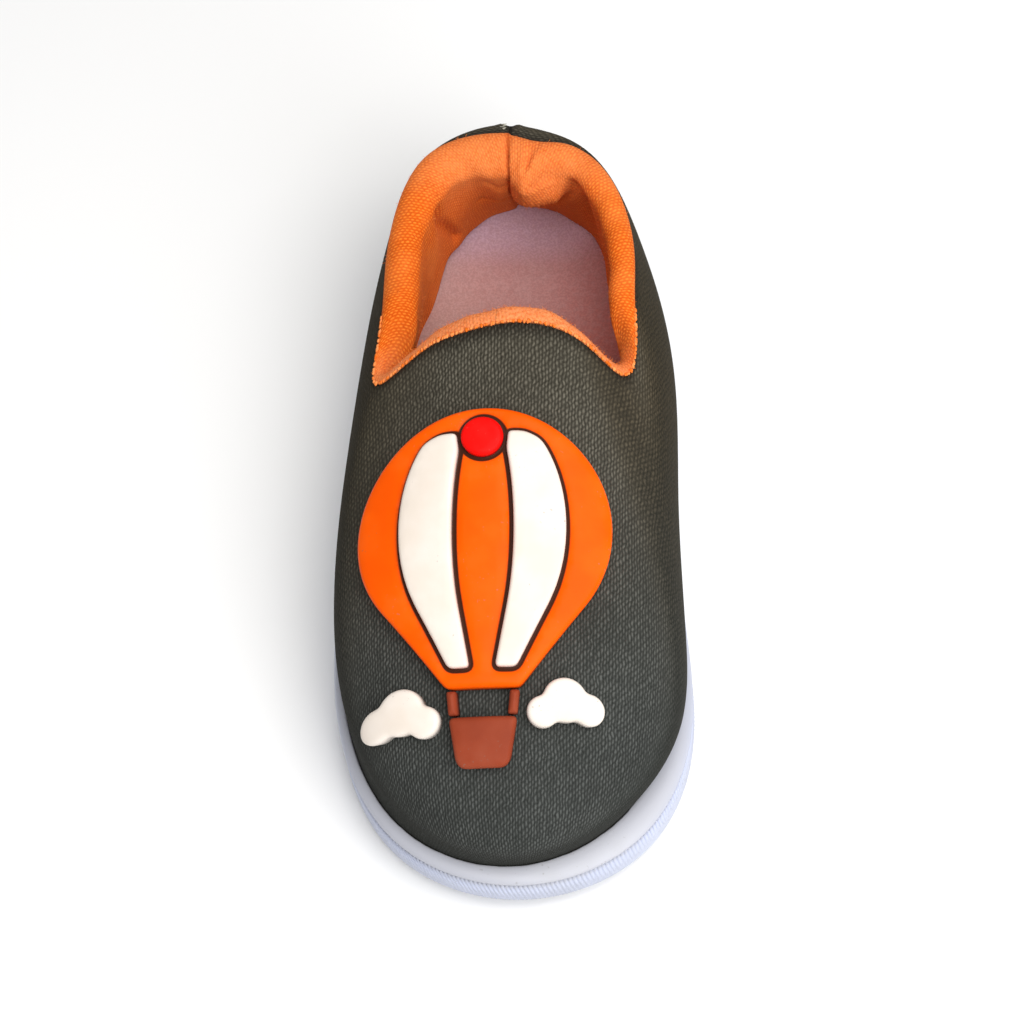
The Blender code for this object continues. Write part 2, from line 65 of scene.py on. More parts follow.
# One row for each section of the shoe, from the heel along the lateral side, round the toe and back.
# Columns: share of the length from the heel, share of half the ball width, height of the rim, lip width.
SOLE_SECTIONS = (
    (0.000, 0.00, 14.0, 2.8),
    (0.048, -0.50, 13.9, 2.6),
    (0.157, -0.72, 13.5, 2.5),
    (0.307, -0.82, 12.6, 2.4),
    (0.471, -0.91, 11.8, 2.2),
    (0.643, -0.985, 11.5, 2.0),
    (0.800, -0.93, 11.8, 2.2),
    (0.939, -0.615, 12.8, 2.8),
    (1.000, 0.05, 13.5, 3.7),
    (0.936, 0.70, 12.8, 5.1),
    (0.814, 0.96, 11.8, 4.5),
    (0.686, 0.97, 11.5, 3.2),
    (0.514, 0.885, 11.8, 2.6),
    (0.329, 0.82, 12.6, 2.5),
    (0.157, 0.72, 13.5, 2.5),
    (0.048, 0.48, 13.9, 2.6),
)

# The side of the sole from the tread to the bed. Columns: inset from the outer edge, share of the lip's
# width added to it, level (0 tread, 1 rim), height over that level, and how much grime settles there.
SOLE_SIDE = (
    (4.2, 0.0, 0.0, 0.0, 0.6),
    (3.0, 0.0, 0.0, 0.0, 0.6),
    (2.0, 0.0, 0.0, 0.0, 0.6),
    (1.3, 0.0, 0.0, 0.12, 0.5),
    (0.8, 0.0, 0.0, 0.45, 0.4),
    (0.42, 0.0, 0.0, 0.95, 0.25),
    (0.32, 0.0, 0.0, 1.5, 0.15),
    (0.64, 0.0, 0.5, -0.2, 0.05),
    (0.92, 0.0, 1.0, -1.95, 0.1),
    (0.98, 0.0, 1.0, -1.75, 0.3),
    (0.96, 0.0, 1.0, -1.52, 0.35),
    (0.80, 0.0, 1.0, -1.30, 0.1),
    (0.64, 0.0, 1.0, -1.08, 0.0),
    (0.56, 0.0, 1.0, -0.80, 0.0),
    (0.56, 0.05, 1.0, -0.50, 0.0),
    (0.55, 0.14, 1.0, -0.25, 0.0),
    (0.52, 0.28, 1.0, -0.08, 0.0),
    (0.50, 0.44, 1.0, 0.0, 0.0),
    (0.34, 0.64, 1.0, 0.02, 0.05),
    (0.18, 0.82, 1.0, 0.0, 0.1),
    (-0.08, 1.0, 1.0, -0.02, 0.2),
    (0.10, 1.0, 1.0, -0.10, 0.35),
    (0.20, 1.0, 1.0, -0.4, 0.8),
    (0.20, 1.0, 1.0, -LIP_DEPTH, 1.0),
)
LIP_UNEVEN = 0.03
# The unevenness of the lip's inner edge. Columns: share, turns per millimetre, start
LIP_WAVES = ((1.0, 0.61, 0.0), (0.8, 1.37, 1.0), (0.6, 2.9, 2.2))
LIP_EDGE_DROP = -0.3


def section_places(sections):
    """Running length at each section of the loop, and at the fine steps from each section to the next."""
    outline = np.array(sections)[:, :2] * (SOLE_LENGTH, HALF_BALL)
    chords = np.linalg.norm(np.roll(outline, -1, axis=0) - outline, axis=1)
    knots = np.concatenate([[0], np.cumsum(chords)])
    spans = zip(knots, knots[1:])
    steps = [np.linspace(a, b, STEPS_PER_SECTION, endpoint=False) for a, b in spans]
    return knots, np.concatenate(steps)


section_knots, loop_places = section_places(SOLE_SECTIONS)


def round_the_shoe(sections):
    """Smooth closed curves through a table's columns, read at every fine step of the loop."""
    values = np.array(sections, dtype=float)
    step = np.diff(section_knots)
    count = len(step)
    before = np.roll(step, 1)
    slope = (np.roll(values, -1, axis=0) - values) / step[:, None]
    system = np.diag(2 * (before + step))
    for i in range(count):
        system[i, i - 1] += before[i]
        system[i, (i + 1) % count] += step[i]
    bend = np.linalg.solve(system, 6 * (slope - np.roll(slope, 1, axis=0)))
    i = np.repeat(np.arange(count), STEPS_PER_SECTION)
    after = (i + 1) % count
    ahead = ((loop_places - section_knots[i]) / step[i])[:, None]
    back = 1 - ahead
    bow = ((back**3 - back) * bend[i] + (ahead**3 - ahead) * bend[after]) * (step[i] ** 2)[:, None] / 6
    return (back * values[i] + ahead * values[after] + bow).T


def lengthwise(along):
    """Y of a share of the sole's length, with the heel at plus."""
    return SOLE_LENGTH * (0.5 - along)


edge_along, edge_across, rim_height, lip_width = round_the_shoe(SOLE_SECTIONS)
edge_x = edge_across * HALF_BALL
edge_y = lengthwise(edge_along)
tangent = np.stack([np.roll(edge_x, -1) - np.roll(edge_x, 1), np.roll(edge_y, -1) - np.roll(edge_y, 1)])
edge_out = np.stack([tangent[1], -tangent[0]]) / np.linalg.norm(tangent, axis=0)
loop_count = len(edge_x)
bed_height = rim_height - LIP_DEPTH


def inset(distance, z):
    """The loop of points that lie a distance inside the sole's outer edge, at a height."""
    x = edge_x - edge_out[0] * distance
    y = edge_y - edge_out[1] * distance
    return np.stack([x, y, np.broadcast_to(z, x.shape)], axis=-1)


def tread_height(y):
    """Height of the underside: flat under heel and ball, lifted at the arch, the toe and the heel's back."""
    along = 0.5 - y / SOLE_LENGTH
    toe = np.clip((along - TOE_SPRING_FROM) / (1 - TOE_SPRING_FROM), 0, None) ** 2
    arch = np.clip(1 - ((along - ARCH_MIDDLE) / ARCH_REACH) ** 2, 0, None) ** 2
    heel = np.clip(1 - along / HEEL_BEVEL_FROM, 0, None) ** 2
    return TOE_SPRING * toe + ARCH_LIFT * arch + HEEL_BEVEL * heel


def ring_faces(count, rows, closed):
    """Quads of a grid that is closed round its first axis, and across its rows too where closed is set."""
    i = np.arange(count)[:, None]
    row = np.arange(rows if closed else rows - 1)
    after = (i + 1) % count
    above = (row + 1) % rows
    quads = [i * rows + row, after * rows + row, after * rows + above, i * rows + above]
    return np.stack(quads, axis=-1).reshape(-1, 4).tolist()


def strip_faces(count, rows, row):
    """Strips from side to side that fill one row of a grid whose loop starts at the heel."""
    half = count // 2
    at = [i * rows + row for i in range(count)]
    faces = [(at[0], at[1], at[-1]), (at[half - 1], at[half], at[half + 1])]
    for i in range(1, half - 1):
        faces.append((at[i], at[i + 1], at[count - i - 1], at[count - i]))
    return faces


def add_mesh(name, points, faces, material):
    """An object at the origin from points in millimetres, with smooth faces that are turned out."""
    mesh = bpy.data.meshes.new(name)
    mesh.from_pydata((np.asarray(points).reshape(-1, 3) * MM).tolist(), [], faces)
    work = bmesh.new()
    work.from_mesh(mesh)
    bmesh.ops.recalc_face_normals(work, faces=work.faces)
    work.to_mesh(mesh)
    work.free()
    mesh.shade_smooth()
    mesh.materials.append(material)
    piece = bpy.data.objects.new(name, mesh)
    bpy.context.scene.collection.objects.link(piece)
    return piece


def set_values(piece, name, values):
    """A value, or three numbers, for each point of a piece, under a name that materials can read."""
    values = np.asarray(values, dtype=np.float32)
    kind, key = ("FLOAT", "value") if values.ndim == 1 else ("FLOAT_VECTOR", "vector")
    attribute = piece.data.attributes.new(name, kind, "POINT")
    attribute.data.foreach_set(key, values.ravel())


def add_node(tree, kind, inputs=None, **settings):
    """A node with its settings, and with its inputs set to values or linked from other sockets."""
    node = tree.nodes.new(kind)
    for name, value in settings.items():
        setattr(node, name, value)
    for key, value in (inputs or {}).items():
        if isinstance(value, bpy.types.NodeSocket):
            tree.links.new(value, node.inputs[key])
        else:
            node.inputs[key].default_value = value
    return node


def output_of(tree, kind, inputs=None, **settings):
    """First output of a new node."""
    return add_node(tree, kind, inputs, **settings).outputs[0]


def calc(tree, operation, *values):
    """Result of a Math node."""
    return output_of(tree, "ShaderNodeMath", dict(enumerate(values)), operation=operation)


def blend_colours(tree, share, first, second, weight=1.0):
    """Colour between two, by a share or by a part of that share. Plain colours are red, green and blue."""
    first, second = [(*tone, 1) if isinstance(tone, tuple) else tone for tone in (first, second)]
    if weight < 1:
        share = calc(tree, "MULTIPLY", share, weight)
    return add_node(tree, "ShaderNodeMix", {0: share, 6: first, 7: second}, data_type="RGBA").outputs[2]


def smooth_step(tree, value, low, high, start=0.0, end=1.0):
    """A value eased from start to end as another goes from low to high."""
    inputs = {"Value": value, "From Min": low, "From Max": high, "To Min": start, "To Max": end}
    return output_of(tree, "ShaderNodeMapRange", inputs, interpolation_type="SMOOTHSTEP")


def noise(tree, place, scale, detail=2.0, roughness=0.5):
    """Noise around a half, read at a place."""
    inputs = {"Vector": place, "Scale": scale, "Detail": detail, "Roughness": roughness}
    return output_of(tree, "ShaderNodeTexNoise", inputs)


def waver(tree, place, scale, detail, reach):
    """Noise around zero, over a reach."""
    return calc(tree, "MULTIPLY", calc(tree, "SUBTRACT", noise(tree, place, scale, detail), 0.5), reach)


def object_place(tree):
    return add_node(tree, "ShaderNodeTexCoord").outputs["Object"]


def axes_of(tree, vector):
    """The three numbers of a vector, by the names of their axes."""
    return add_node(tree, "ShaderNodeSeparateXYZ", {0: vector}).outputs


def surface_value(tree, name, output="Fac"):
    return add_node(tree, "ShaderNodeAttribute", attribute_name=name).outputs[output]


def new_material(name):
    """An empty material, its tree and its shader."""
    material = bpy.data.materials.new(name)
    material.use_nodes = True
    tree = material.node_tree
    return material, tree, tree.nodes["Principled BSDF"]


def feed(tree, shader, name, value):
    """Sets one of the shader's inputs, or links a socket to it."""
    if isinstance(value, bpy.types.NodeSocket):
        tree.links.new(value, shader.inputs[name])
    else:
        shader.inputs[name].default_value = value


def bump(tree, height, depth, strength):
    """Normal of a surface with a relief of a depth in millimetres."""
    inputs = {"Height": height, "Distance": depth * MM, "Strength": strength}
    return output_of(tree, "ShaderNodeBump", inputs)


def add_group(name, inputs, outputs):
    """A shader group with named number sockets. Returns it with its input sockets and its output node."""
    group = bpy.data.node_groups.new(name, "ShaderNodeTree")
    for label, value in inputs.items():
        socket = group.interface.new_socket(name=label, in_out="INPUT", socket_type="NodeSocketFloat")
        socket.default_value = value
    for label in outputs:
        group.interface.new_socket(name=label, in_out="OUTPUT", socket_type="NodeSocketFloat")
    return group, group.nodes.new("NodeGroupInput").outputs, group.nodes.new("NodeGroupOutput")


def use_group(tree, group, **inputs):
    """Outputs of a shader group placed in a material. Its inputs are given with underscores for spaces."""
    named = {key.replace("_", " "): value for key, value in inputs.items()}
    node = tree.nodes.new("ShaderNodeGroup")
    node.node_tree = group
    for key, value in named.items():
        feed(tree, node, key, value)
    return node.outputs


# Handling marks on smooth moulded faces: soft smudges, and small specks of dirt in patches
marks_inputs = {"Patch Size": 14.0, "Speck Size": 0.5}
marks_group, given, result = add_group("handling marks", marks_inputs, ("Smudge", "Speck"))
place = object_place(marks_group)
patches = noise(marks_group, place, calc(marks_group, "DIVIDE", 1000.0, given["Patch Size"]), 3.0, 0.6)
specks = noise(marks_group, place, calc(marks_group, "DIVIDE", 1000.0, given["Speck Size"]), 1.0)
smudge = smooth_step(marks_group, patches, 0.5, 0.75)
speck = smooth_step(marks_group, specks, 0.70, 0.76)
speck = calc(marks_group, "MULTIPLY", speck, smooth_step(marks_group, patches, 0.46, 0.6))
marks_group.links.new(smudge, result.inputs["Smudge"])
marks_group.links.new(speck, result.inputs["Speck"])

sole_white, tree, shader = new_material("white_rubber")
marks = use_group(tree, marks_group, Patch_Size=18.0, Speck_Size=0.7)
grime = calc(tree, "MULTIPLY", surface_value(tree, "grime"), 0.6)
cloudy = noise(tree, object_place(tree), 45.0, 3.0)
rim_tone = blend_colours(tree, cloudy, (0.455, 0.462, 0.525), (0.525, 0.534, 0.59))
wall_tone = blend_colours(tree, cloudy, (0.50, 0.535, 0.67), (0.57, 0.605, 0.75))
above_floor = axes_of(tree, object_place(tree))["Z"]
colour = blend_colours(tree, smooth_step(tree, above_floor, 0.0095, 0.0125), wall_tone, rim_tone)
colour = blend_colours(tree, marks["Smudge"], colour, (0.50, 0.50, 0.50), 0.25)
colour = blend_colours(tree, grime, colour, (0.34, 0.33, 0.32))
colour = blend_colours(tree, marks["Speck"], colour, (0.22, 0.20, 0.18), 0.35)
feed(tree, shader, "Base Color", colour)
feed(tree, shader, "Roughness", smooth_step(tree, marks["Smudge"], 0.0, 1.0, 0.42, 0.58))
feed(tree, shader, "Normal", bump(tree, noise(tree, object_place(tree), 1800.0, 2.0), 0.05, 0.35))

# The lip's inner edge runs a little uneven
trim = sum(share * np.sin(loop_places * turns + start) for share, turns, start in LIP_WAVES)
sole_rows = []
for side_inset, lip_share, level, over_level, _ in SOLE_SIDE:
    uneven = LIP_UNEVEN * trim * (lip_share == 1 and over_level > LIP_EDGE_DROP)
    row = inset(side_inset + lip_share * lip_width + uneven, 0)
    row[:, 2] = over_level + level * rim_height + (1 - level) * tread_height(row[:, 1])
    sole_rows.append(row)
sole_grid = np.stack(sole_rows, axis=1)
sole_depth = len(SOLE_SIDE)
sole_faces = ring_faces(loop_count, sole_depth, False)
sole_faces += strip_faces(loop_count, sole_depth, 0) + strip_faces(loop_count, sole_depth, sole_depth - 1)
sole = add_mesh("moulded_sole", sole_grid, sole_faces, sole_white)
set_values(sole, "grime", np.tile([row[4] for row in SOLE_SIDE], loop_count))
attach(sole, "root")
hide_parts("sole")

# Ribs of the sole's side
# Fine upright ribs of the same white rubber, moulded with the sole, close together all the way round its
# side wall. They lean a little and end short of the tread and of the parting groove.
RIB_COUNT = 440
RIB_WIDTH = 0.70
RIB_LEAN = -10
RIB_TILT = 3.8
RIB_INSET = 0.80
RIB_FOOT = 1.3
RIB_HEAD = -1.95


def add_tree(name, numbers):
    """A geometry tree with number inputs. Returns it with its input sockets and its output node."""
    tree = bpy.data.node_groups.new(name, "GeometryNodeTree")
    tree.interface.new_socket(name="Geometry", in_out="INPUT", socket_type="NodeSocketGeometry")
    for label, value in numbers.items():
        kind = "NodeSocketInt" if isinstance(value, int) else "NodeSocketFloat"
        tree.interface.new_socket(name=label, in_out="INPUT", socket_type=kind).default_value = value
    tree.interface.new_socket(name="Geometry", in_out="OUTPUT", socket_type="NodeSocketGeometry")
    return tree, tree.nodes.new("NodeGroupInput").outputs, tree.nodes.new("NodeGroupOutput")


def end_tree(tree, result, instances, material):
    """Closes a geometry tree: instances made real, smooth, and given their material."""
    real = output_of(tree, "GeometryNodeRealizeInstances", {0: instances})
    smooth = output_of(tree, "GeometryNodeSetShadeSmooth", {0: real})
    dressed = output_of(tree, "GeometryNodeSetMaterial", {"Geometry": smooth, "Material": material})
    tree.links.new(dressed, result.inputs[0])


def grow(name, tree, source, **numbers):
    """What a geometry tree makes of a source object, as a plain mesh object at the origin."""
    modifier = source.modifiers.new(name, "NODES")
    modifier.node_group = tree
    for item in tree.interface.items_tree:
        key = item.name.replace(" ", "_")
        if item.in_out == "INPUT" and key in numbers:
            modifier[item.identifier] = numbers[key]
    evaluated = source.evaluated_get(bpy.context.evaluated_depsgraph_get())
    mesh = bpy.data.meshes.new_from_object(evaluated)
    source.modifiers.remove(modifier)
    mesh.name = name
    piece = bpy.data.objects.new(name, mesh)
    bpy.context.scene.collection.objects.link(piece)
    return piece


def add_path(name, points, closed, reach=None):
    """A path through points in millimetres, with a reach in millimetres kept as its radius."""
    path = bpy.data.curves.new(name, "CURVE")
    path.dimensions = "3D"
    spline = path.splines.new("POLY")
    spline.points.add(len(points) - 1)
    places = np.concatenate([np.asarray(points) * MM, np.ones((len(points), 1))], axis=1)
    spline.points.foreach_set("co", places.ravel())
    if reach is not None:
        spline.points.foreach_set("radius", np.asarray(reach) * MM)
    spline.use_cyclic_u = closed
    piece = bpy.data.objects.new(name, path)
    bpy.context.scene.collection.objects.link(piece)
    return piece


rib_sizes = {
    "Count": RIB_COUNT,
    "Width": RIB_WIDTH * MM,
    "Lean": math.radians(RIB_LEAN),
    "Tilt": math.radians(RIB_TILT),
}
rib_tree, given, result = add_tree("side ribs", rib_sizes)
spread = {"Curve": given["Geometry"], "Count": given["Count"]}
posts = output_of(rib_tree, "GeometryNodeResampleCurve", spread)
radius = calc(rib_tree, "MULTIPLY", given["Width"], 0.5)
bar = output_of(rib_tree, "GeometryNodeMeshCylinder", {"Vertices": 8, "Radius": radius, "Depth": 1.0})
heading = output_of(rib_tree, "GeometryNodeInputTangent")
turned = output_of(rib_tree, "FunctionNodeAlignRotationToVector", {"Vector": heading}, axis="X")
tilt = calc(rib_tree, "MULTIPLY", given["Tilt"], -1.0)
lean = output_of(rib_tree, "ShaderNodeCombineXYZ", {"X": tilt, "Y": given["Lean"]})
leaned = output_of(rib_tree, "FunctionNodeRotateRotation", {0: turned, 1: lean}, rotation_space="LOCAL")
reach = output_of(rib_tree, "GeometryNodeInputRadius")
size = output_of(rib_tree, "ShaderNodeCombineXYZ", {"X": 1.0, "Y": 1.0, "Z": reach})
placed = {"Points": posts, "Instance": bar, "Rotation": leaned, "Scale": size}
end_tree(rib_tree, result, output_of(rib_tree, "GeometryNodeInstanceOnPoints", placed), sole_white)

rib_line = inset(RIB_INSET, 0)
rib_low = tread_height(rib_line[:, 1]) + RIB_FOOT
rib_high = rim_height + RIB_HEAD
rib_line[:, 2] = (rib_low + rib_high) / 2
rib_path = add_path("rib_path", rib_line, True, rib_high - rib_low)
ribs = grow("sole_ribs", rib_tree, rib_path, **rib_sizes)
bpy.data.objects.remove(rib_path)
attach(ribs, "root")

# Upper
# One wall of dark olive-grey woven cloth over a thin backing, vamp and quarters in one, closed by a seam
# down the back of the heel. It is lasted over the foot's shape and glued down inside the sole's lip.
WALL = 2.0
GAP = 0.3
INSTEP_HEIGHT = 48.0
SKIRT_STEPS = 9
RULING_STEPS = 48
INNER_EVERY = 3
HEEL_MIDDLE = 45.0
HEEL_RADIUS = 23.0
THREAD_PITCH = 0.60
THREAD_RUN = 1.15
HEEL_SEAM_HALF = 0.8
HEEL_SEAM_DEPTH = 0.35
HEEL_SEAM_RIDGE = 0.6
SEWN_EDGE_SHADE = 0.65
SEWN_EDGE_REACH = 1.3
HEEL_LAP = 1.3
HEEL_LAP_AT = 5.5
HEEL_LAP_REACH = 5.0
# Between these places along the shoe the threads turn from straight across to round the heel
HEEL_THREADS = (24.0, 44.0)
FRONT_SHOWN = 0.7
CLEAR_FROM = 0.38
CLEAR_SPAN = 0.82
CLEAR_RANGE = (0.20, 0.80)

# Columns: how far the belly of the cloth stands out past the sole's edge, height of the belly, the collar's
# share of the length, of half the ball width and of the instep's height, how far the wall climbs straight
# up, and how far back (a share) and below the collar its last stretch sets off.
UPPER_SECTIONS = (
    (0.6, 25.0, 0.0310, 0.00, 0.840, 12.6, 0.80, 0.8),
    (0.2, 24.5, 0.0545, -0.45, 0.805, 9.6, 0.65, 1.4),
    (0.3, 23.0, 0.150, -0.64, 0.766, 6.0, 0.40, 4.5),
    (0.5, 22.0, 0.264, -0.68, 0.755, 6.5, 0.40, 4.0),
    (-0.2, 21.0, 0.348, -0.71, 0.735, 8.0, 0.45, 3.0),
    (-1.5, 19.5, 0.392, -0.68, 0.760, 10.0, 0.50, 4.0),
    (-2.7, 19.0, 0.370, -0.45, 0.875, 12.0, 0.55, 7.0),
    (-3.5, 19.3, 0.361, -0.24, 0.960, 13.5, 0.58, 10.0),
    (-3.3, 20.0, 0.355, 0.00, 1.000, 14.0, 0.58, 12.0),
    (-4.3, 19.3, 0.354, 0.24, 0.970, 13.5, 0.58, 10.0),
    (-2.2, 19.0, 0.369, 0.44, 0.895, 12.0, 0.55, 7.0),
    (-1.2, 19.5, 0.390, 0.61, 0.785, 10.0, 0.50, 4.0),
    (0.8, 21.0, 0.346, 0.69, 0.750, 8.0, 0.45, 3.0),
    (2.6, 22.0, 0.261, 0.69, 0.770, 6.5, 0.40, 4.0),
    (0.9, 23.0, 0.150, 0.65, 0.771, 6.0, 0.40, 4.5),
    (0.4, 24.5, 0.0610, 0.44, 0.808, 9.6, 0.68, 1.3),
)

upper_curves = round_the_shoe(UPPER_SECTIONS)
overhang, belly, collar_along, collar_across, collar_up, rise, set_back, drop = upper_curves


def hill(away, reach):
    """A smooth hump: 1 where a distance is 0, faded out a few reaches away."""
    return np.exp(-((away / reach) ** 2))


def eased(value, start, end):
    """A share from 0 to 1, eased at both ends, as a value goes from start to end."""
    share = np.clip((value - start) / (end - start), 0, 1)
    return share * share * (3 - 2 * share)


# Beside the heel seam the medial edge lies a little lower than the lateral one
past_seam = section_knots[-1] - loop_places
collar_along = collar_along + HEEL_LAP / SOLE_LENGTH * hill(past_seam - HEEL_LAP_AT, HEEL_LAP_REACH)


def upper_outside():
    """Outer face of the upper as a grid: round the loop, then up from the sole's bed to the collar."""
    foot_inset = lip_width + GAP
    rows = [inset(foot_inset, bed_height + GAP)]
    for share in np.linspace(0, 1, SKIRT_STEPS + 1):
        swell = math.sin(share * math.pi / 2)
        out_of_lip = foot_inset - swell * (foot_inset + overhang)
        rows.append(inset(out_of_lip, rim_height + share * (belly - rim_height)))
    low = rows[-1]
    collar_x = collar_across * HALF_BALL
    collar = np.stack([collar_x, lengthwise(collar_along), collar_up * INSTEP_HEIGHT], axis=-1)
    climb = low + rise[:, None] * np.array([0, 0, 1])
    settle = collar + set_back[:, None] * (low - collar)
    settle[:, 2] = collar[:, 2] - drop
    for t in np.linspace(0, 1, RULING_STEPS + 1)[1:]:
        s = 1 - t
        rows.append(s**3 * low + 3 * s * s * t * climb + 3 * s * t * t * settle + t**3 * collar)
    return np.stack(rows, axis=1)


def unit(vector):
    return vector / np.linalg.norm(vector, axis=-1, keepdims=True)


def outward_normals(grid):
    """Unit normals of a grid that is closed round its first axis."""
    around = np.roll(grid, -1, axis=0) - np.roll(grid, 1, axis=0)
    upward = np.gradient(grid, axis=1)
    return unit(np.cross(around, upward))


upper_outer = upper_outside()
upper_normals = outward_normals(upper_outer)
from_seam = np.minimum(loop_places, past_seam)
heel_seam = hill(from_seam, HEEL_SEAM_HALF)
seam_ridge = hill(from_seam - 2 * HEEL_SEAM_HALF, HEEL_SEAM_HALF)
seam_relief = HEEL_SEAM_DEPTH * (HEEL_SEAM_RIDGE * seam_ridge - heel_seam)
upper_face = upper_outer + seam_relief[:, None, None] * upper_normals
upper_inner = (upper_outer - WALL * upper_normals)[:, ::-INNER_EVERY]
upper_inner[:, -1, 2] = upper_outer[:, 0, 2]
upper_grid = np.concatenate([upper_face, upper_inner], axis=1)

# The cloth laid flat from the collar outward, so that its threads keep their pitch down every slope
downward = upper_outer[:, ::-1]
down_steps = np.diff(downward, axis=1)
facing = upper_normals[:, ::-1, :2][:, 1:]
facing = facing / (np.linalg.norm(facing, axis=-1, keepdims=True) + 1e-9)
downhill = (down_steps[..., :2] * facing).sum(axis=-1, keepdims=True)
sideways = down_steps[..., :2] - downhill * facing
flat_steps = sideways + facing * np.sqrt(downhill**2 + down_steps[..., 2:] ** 2)
flat_start = downward[:, :1, :2]
flat = np.concatenate([flat_start, flat_start + np.cumsum(flat_steps, axis=1)], axis=1)
step_lengths = np.linalg.norm(down_steps, axis=-1)
fallen = np.concatenate([np.zeros((loop_count, 1)), np.cumsum(step_lengths, axis=1)], axis=1)
past_heel = np.arctan2(np.clip(downward[..., 1] - HEEL_MIDDLE, 0, None), np.abs(downward[..., 0]) + 1e-6)
round_heel = np.minimum(downward[..., 1], HEEL_MIDDLE) + HEEL_RADIUS * past_heel
side_sign = np.where(np.arange(loop_count) < loop_count // 2, -1, 1)[:, None]
rear = eased(downward[:, :1, 1], *HEEL_THREADS)
thread_across = flat[..., 0] + rear * (side_sign * (HEEL_RADIUS + fallen) - flat[..., 0])
thread_along = flat[..., 1] + rear * (round_heel - flat[..., 1])
# The threads show most on the top and on the toe's front, and least on the steep sides. The same facing
# paints the cloth lighter on top and darker on steep sides: painted light and shade.
shown = upper_normals[:, ::-1, 2] + FRONT_SHOWN * np.maximum(-upper_normals[:, ::-1, 1], 0)
clearness_and_painted_light = np.clip((shown - CLEAR_FROM) / CLEAR_SPAN, *CLEAR_RANGE)
outer_threads = np.stack([thread_across, thread_along, clearness_and_painted_light], axis=-1)[:, ::-1]
thread_places = np.concatenate([outer_threads, outer_threads[:, ::-INNER_EVERY]], axis=1)

# The cloth is darker down the heel seam, and along the collar's sewn edge it carries a painted shadow of the
# binding
sewn_edge_painted_shadow = SEWN_EDGE_SHADE * hill(fallen[:, ::-1], SEWN_EDGE_REACH)
seam_and_edge_shadow = np.maximum(heel_seam[:, None], sewn_edge_painted_shadow)
seam_and_edge_shadow_places = np.concatenate([seam_and_edge_shadow, seam_and_edge_shadow[:, ::-INNER_EVERY]], axis=1)

# Threads in staggered columns, seen as rows of small raised beads, each of its own shade
thread_inputs = {
    "Across": 0.0,
    "Along": 0.0,
    "Column Pitch": 1.0,
    "Row Pitch": 1.0,
    "Stagger": 0.5,
    "Bead": 1.0,
    "Slant": 0.0,
}
thread_group, given, result = add_group("staggered threads", thread_inputs, ("Thread", "Shade"))
column = calc(thread_group, "DIVIDE", given["Across"], given["Column Pitch"])
column_number = calc(thread_group, "ROUND", column)
odd = calc(thread_group, "PINGPONG", column_number, 1.0)
row = calc(thread_group, "DIVIDE", given["Along"], given["Row Pitch"])
row = calc(thread_group, "MULTIPLY_ADD", odd, given["Stagger"], row)
row_number = calc(thread_group, "ROUND", row)
past_row = calc(thread_group, "SUBTRACT", row, row_number)
leaned = calc(thread_group, "MULTIPLY_ADD", past_row, given["Slant"], column)
off_column = calc(thread_group, "ABSOLUTE", calc(thread_group, "SUBTRACT", leaned, column_number))
off_row = calc(thread_group, "ABSOLUTE", past_row)
ridge = smooth_step(thread_group, off_column, 0.05, 0.49, 1.0, 0.0)
dip = calc(thread_group, "MULTIPLY", given["Bead"], smooth_step(thread_group, off_row, 0.08, 0.46))
thread = calc(thread_group, "MULTIPLY", ridge, calc(thread_group, "SUBTRACT", 1.0, dip))
number = output_of(thread_group, "ShaderNodeCombineXYZ", {0: column_number, 1: row_number})
shade = output_of(thread_group, "ShaderNodeTexWhiteNoise", {"Vector": number}, noise_dimensions="2D")
thread_group.links.new(thread, result.inputs["Thread"])
thread_group.links.new(shade, result.inputs["Shade"])

upper_cloth, tree, shader = new_material("woven_cloth")
place = object_place(tree)
run = axes_of(tree, surface_value(tree, "threads", "Vector"))
threads = use_group(
    tree,
    thread_group,
    Across=calc(tree, "ADD", run["X"], waver(tree, place, 520.0, 3.0, 0.9)),
    Along=calc(tree, "ADD", run["Y"], waver(tree, place, 420.0, 2.0, 1.3)),
    Column_Pitch=THREAD_PITCH,
    Row_Pitch=THREAD_RUN,
    Bead=0.75,
    Slant=-0.18,
)
worn = noise(tree, place, 55.0, 3.0)
rough = noise(tree, place, 2400.0, 2.0, 0.6)
light = calc(tree, "MULTIPLY", threads["Thread"], calc(tree, "MULTIPLY_ADD", threads["Shade"], 0.75, 0.57))
# Painted light and shade: the cloth's base tone is lighter where it faces up or forward, darker on steep
# sides
facing_painted_light = smooth_step(tree, run["Z"], 0.20, 0.62, 0.10, 0.335)
light = calc(tree, "MULTIPLY_ADD", calc(tree, "SUBTRACT", light, 0.26), run["Z"], facing_painted_light)
light = calc(tree, "ADD", light, calc(tree, "MULTIPLY", calc(tree, "SUBTRACT", rough, 0.5), 0.50))
light = calc(tree, "MULTIPLY", light, smooth_step(tree, worn, 0.3, 0.7, 0.8, 1.1))
# Tones by place, as they look in the photograph: browner on steep sides toward the heel, and darker
# laterally, which is painted shade
parts = axes_of(tree, place)
toward_heel = smooth_step(tree, parts["Y"], -0.055, 0.03)
lateral_painted_shade = calc(tree, "MULTIPLY", toward_heel, smooth_step(tree, parts["X"], -0.032, -0.014, 0.7, 0.0))
lit = blend_colours(tree, toward_heel, (0.096, 0.101, 0.096), (0.158, 0.142, 0.108))
steep = calc(tree, "MULTIPLY", toward_heel, smooth_step(tree, run["Z"], 0.28, 0.80, 1.0, 0.0))
lit = blend_colours(tree, steep, lit, (0.158, 0.122, 0.074))
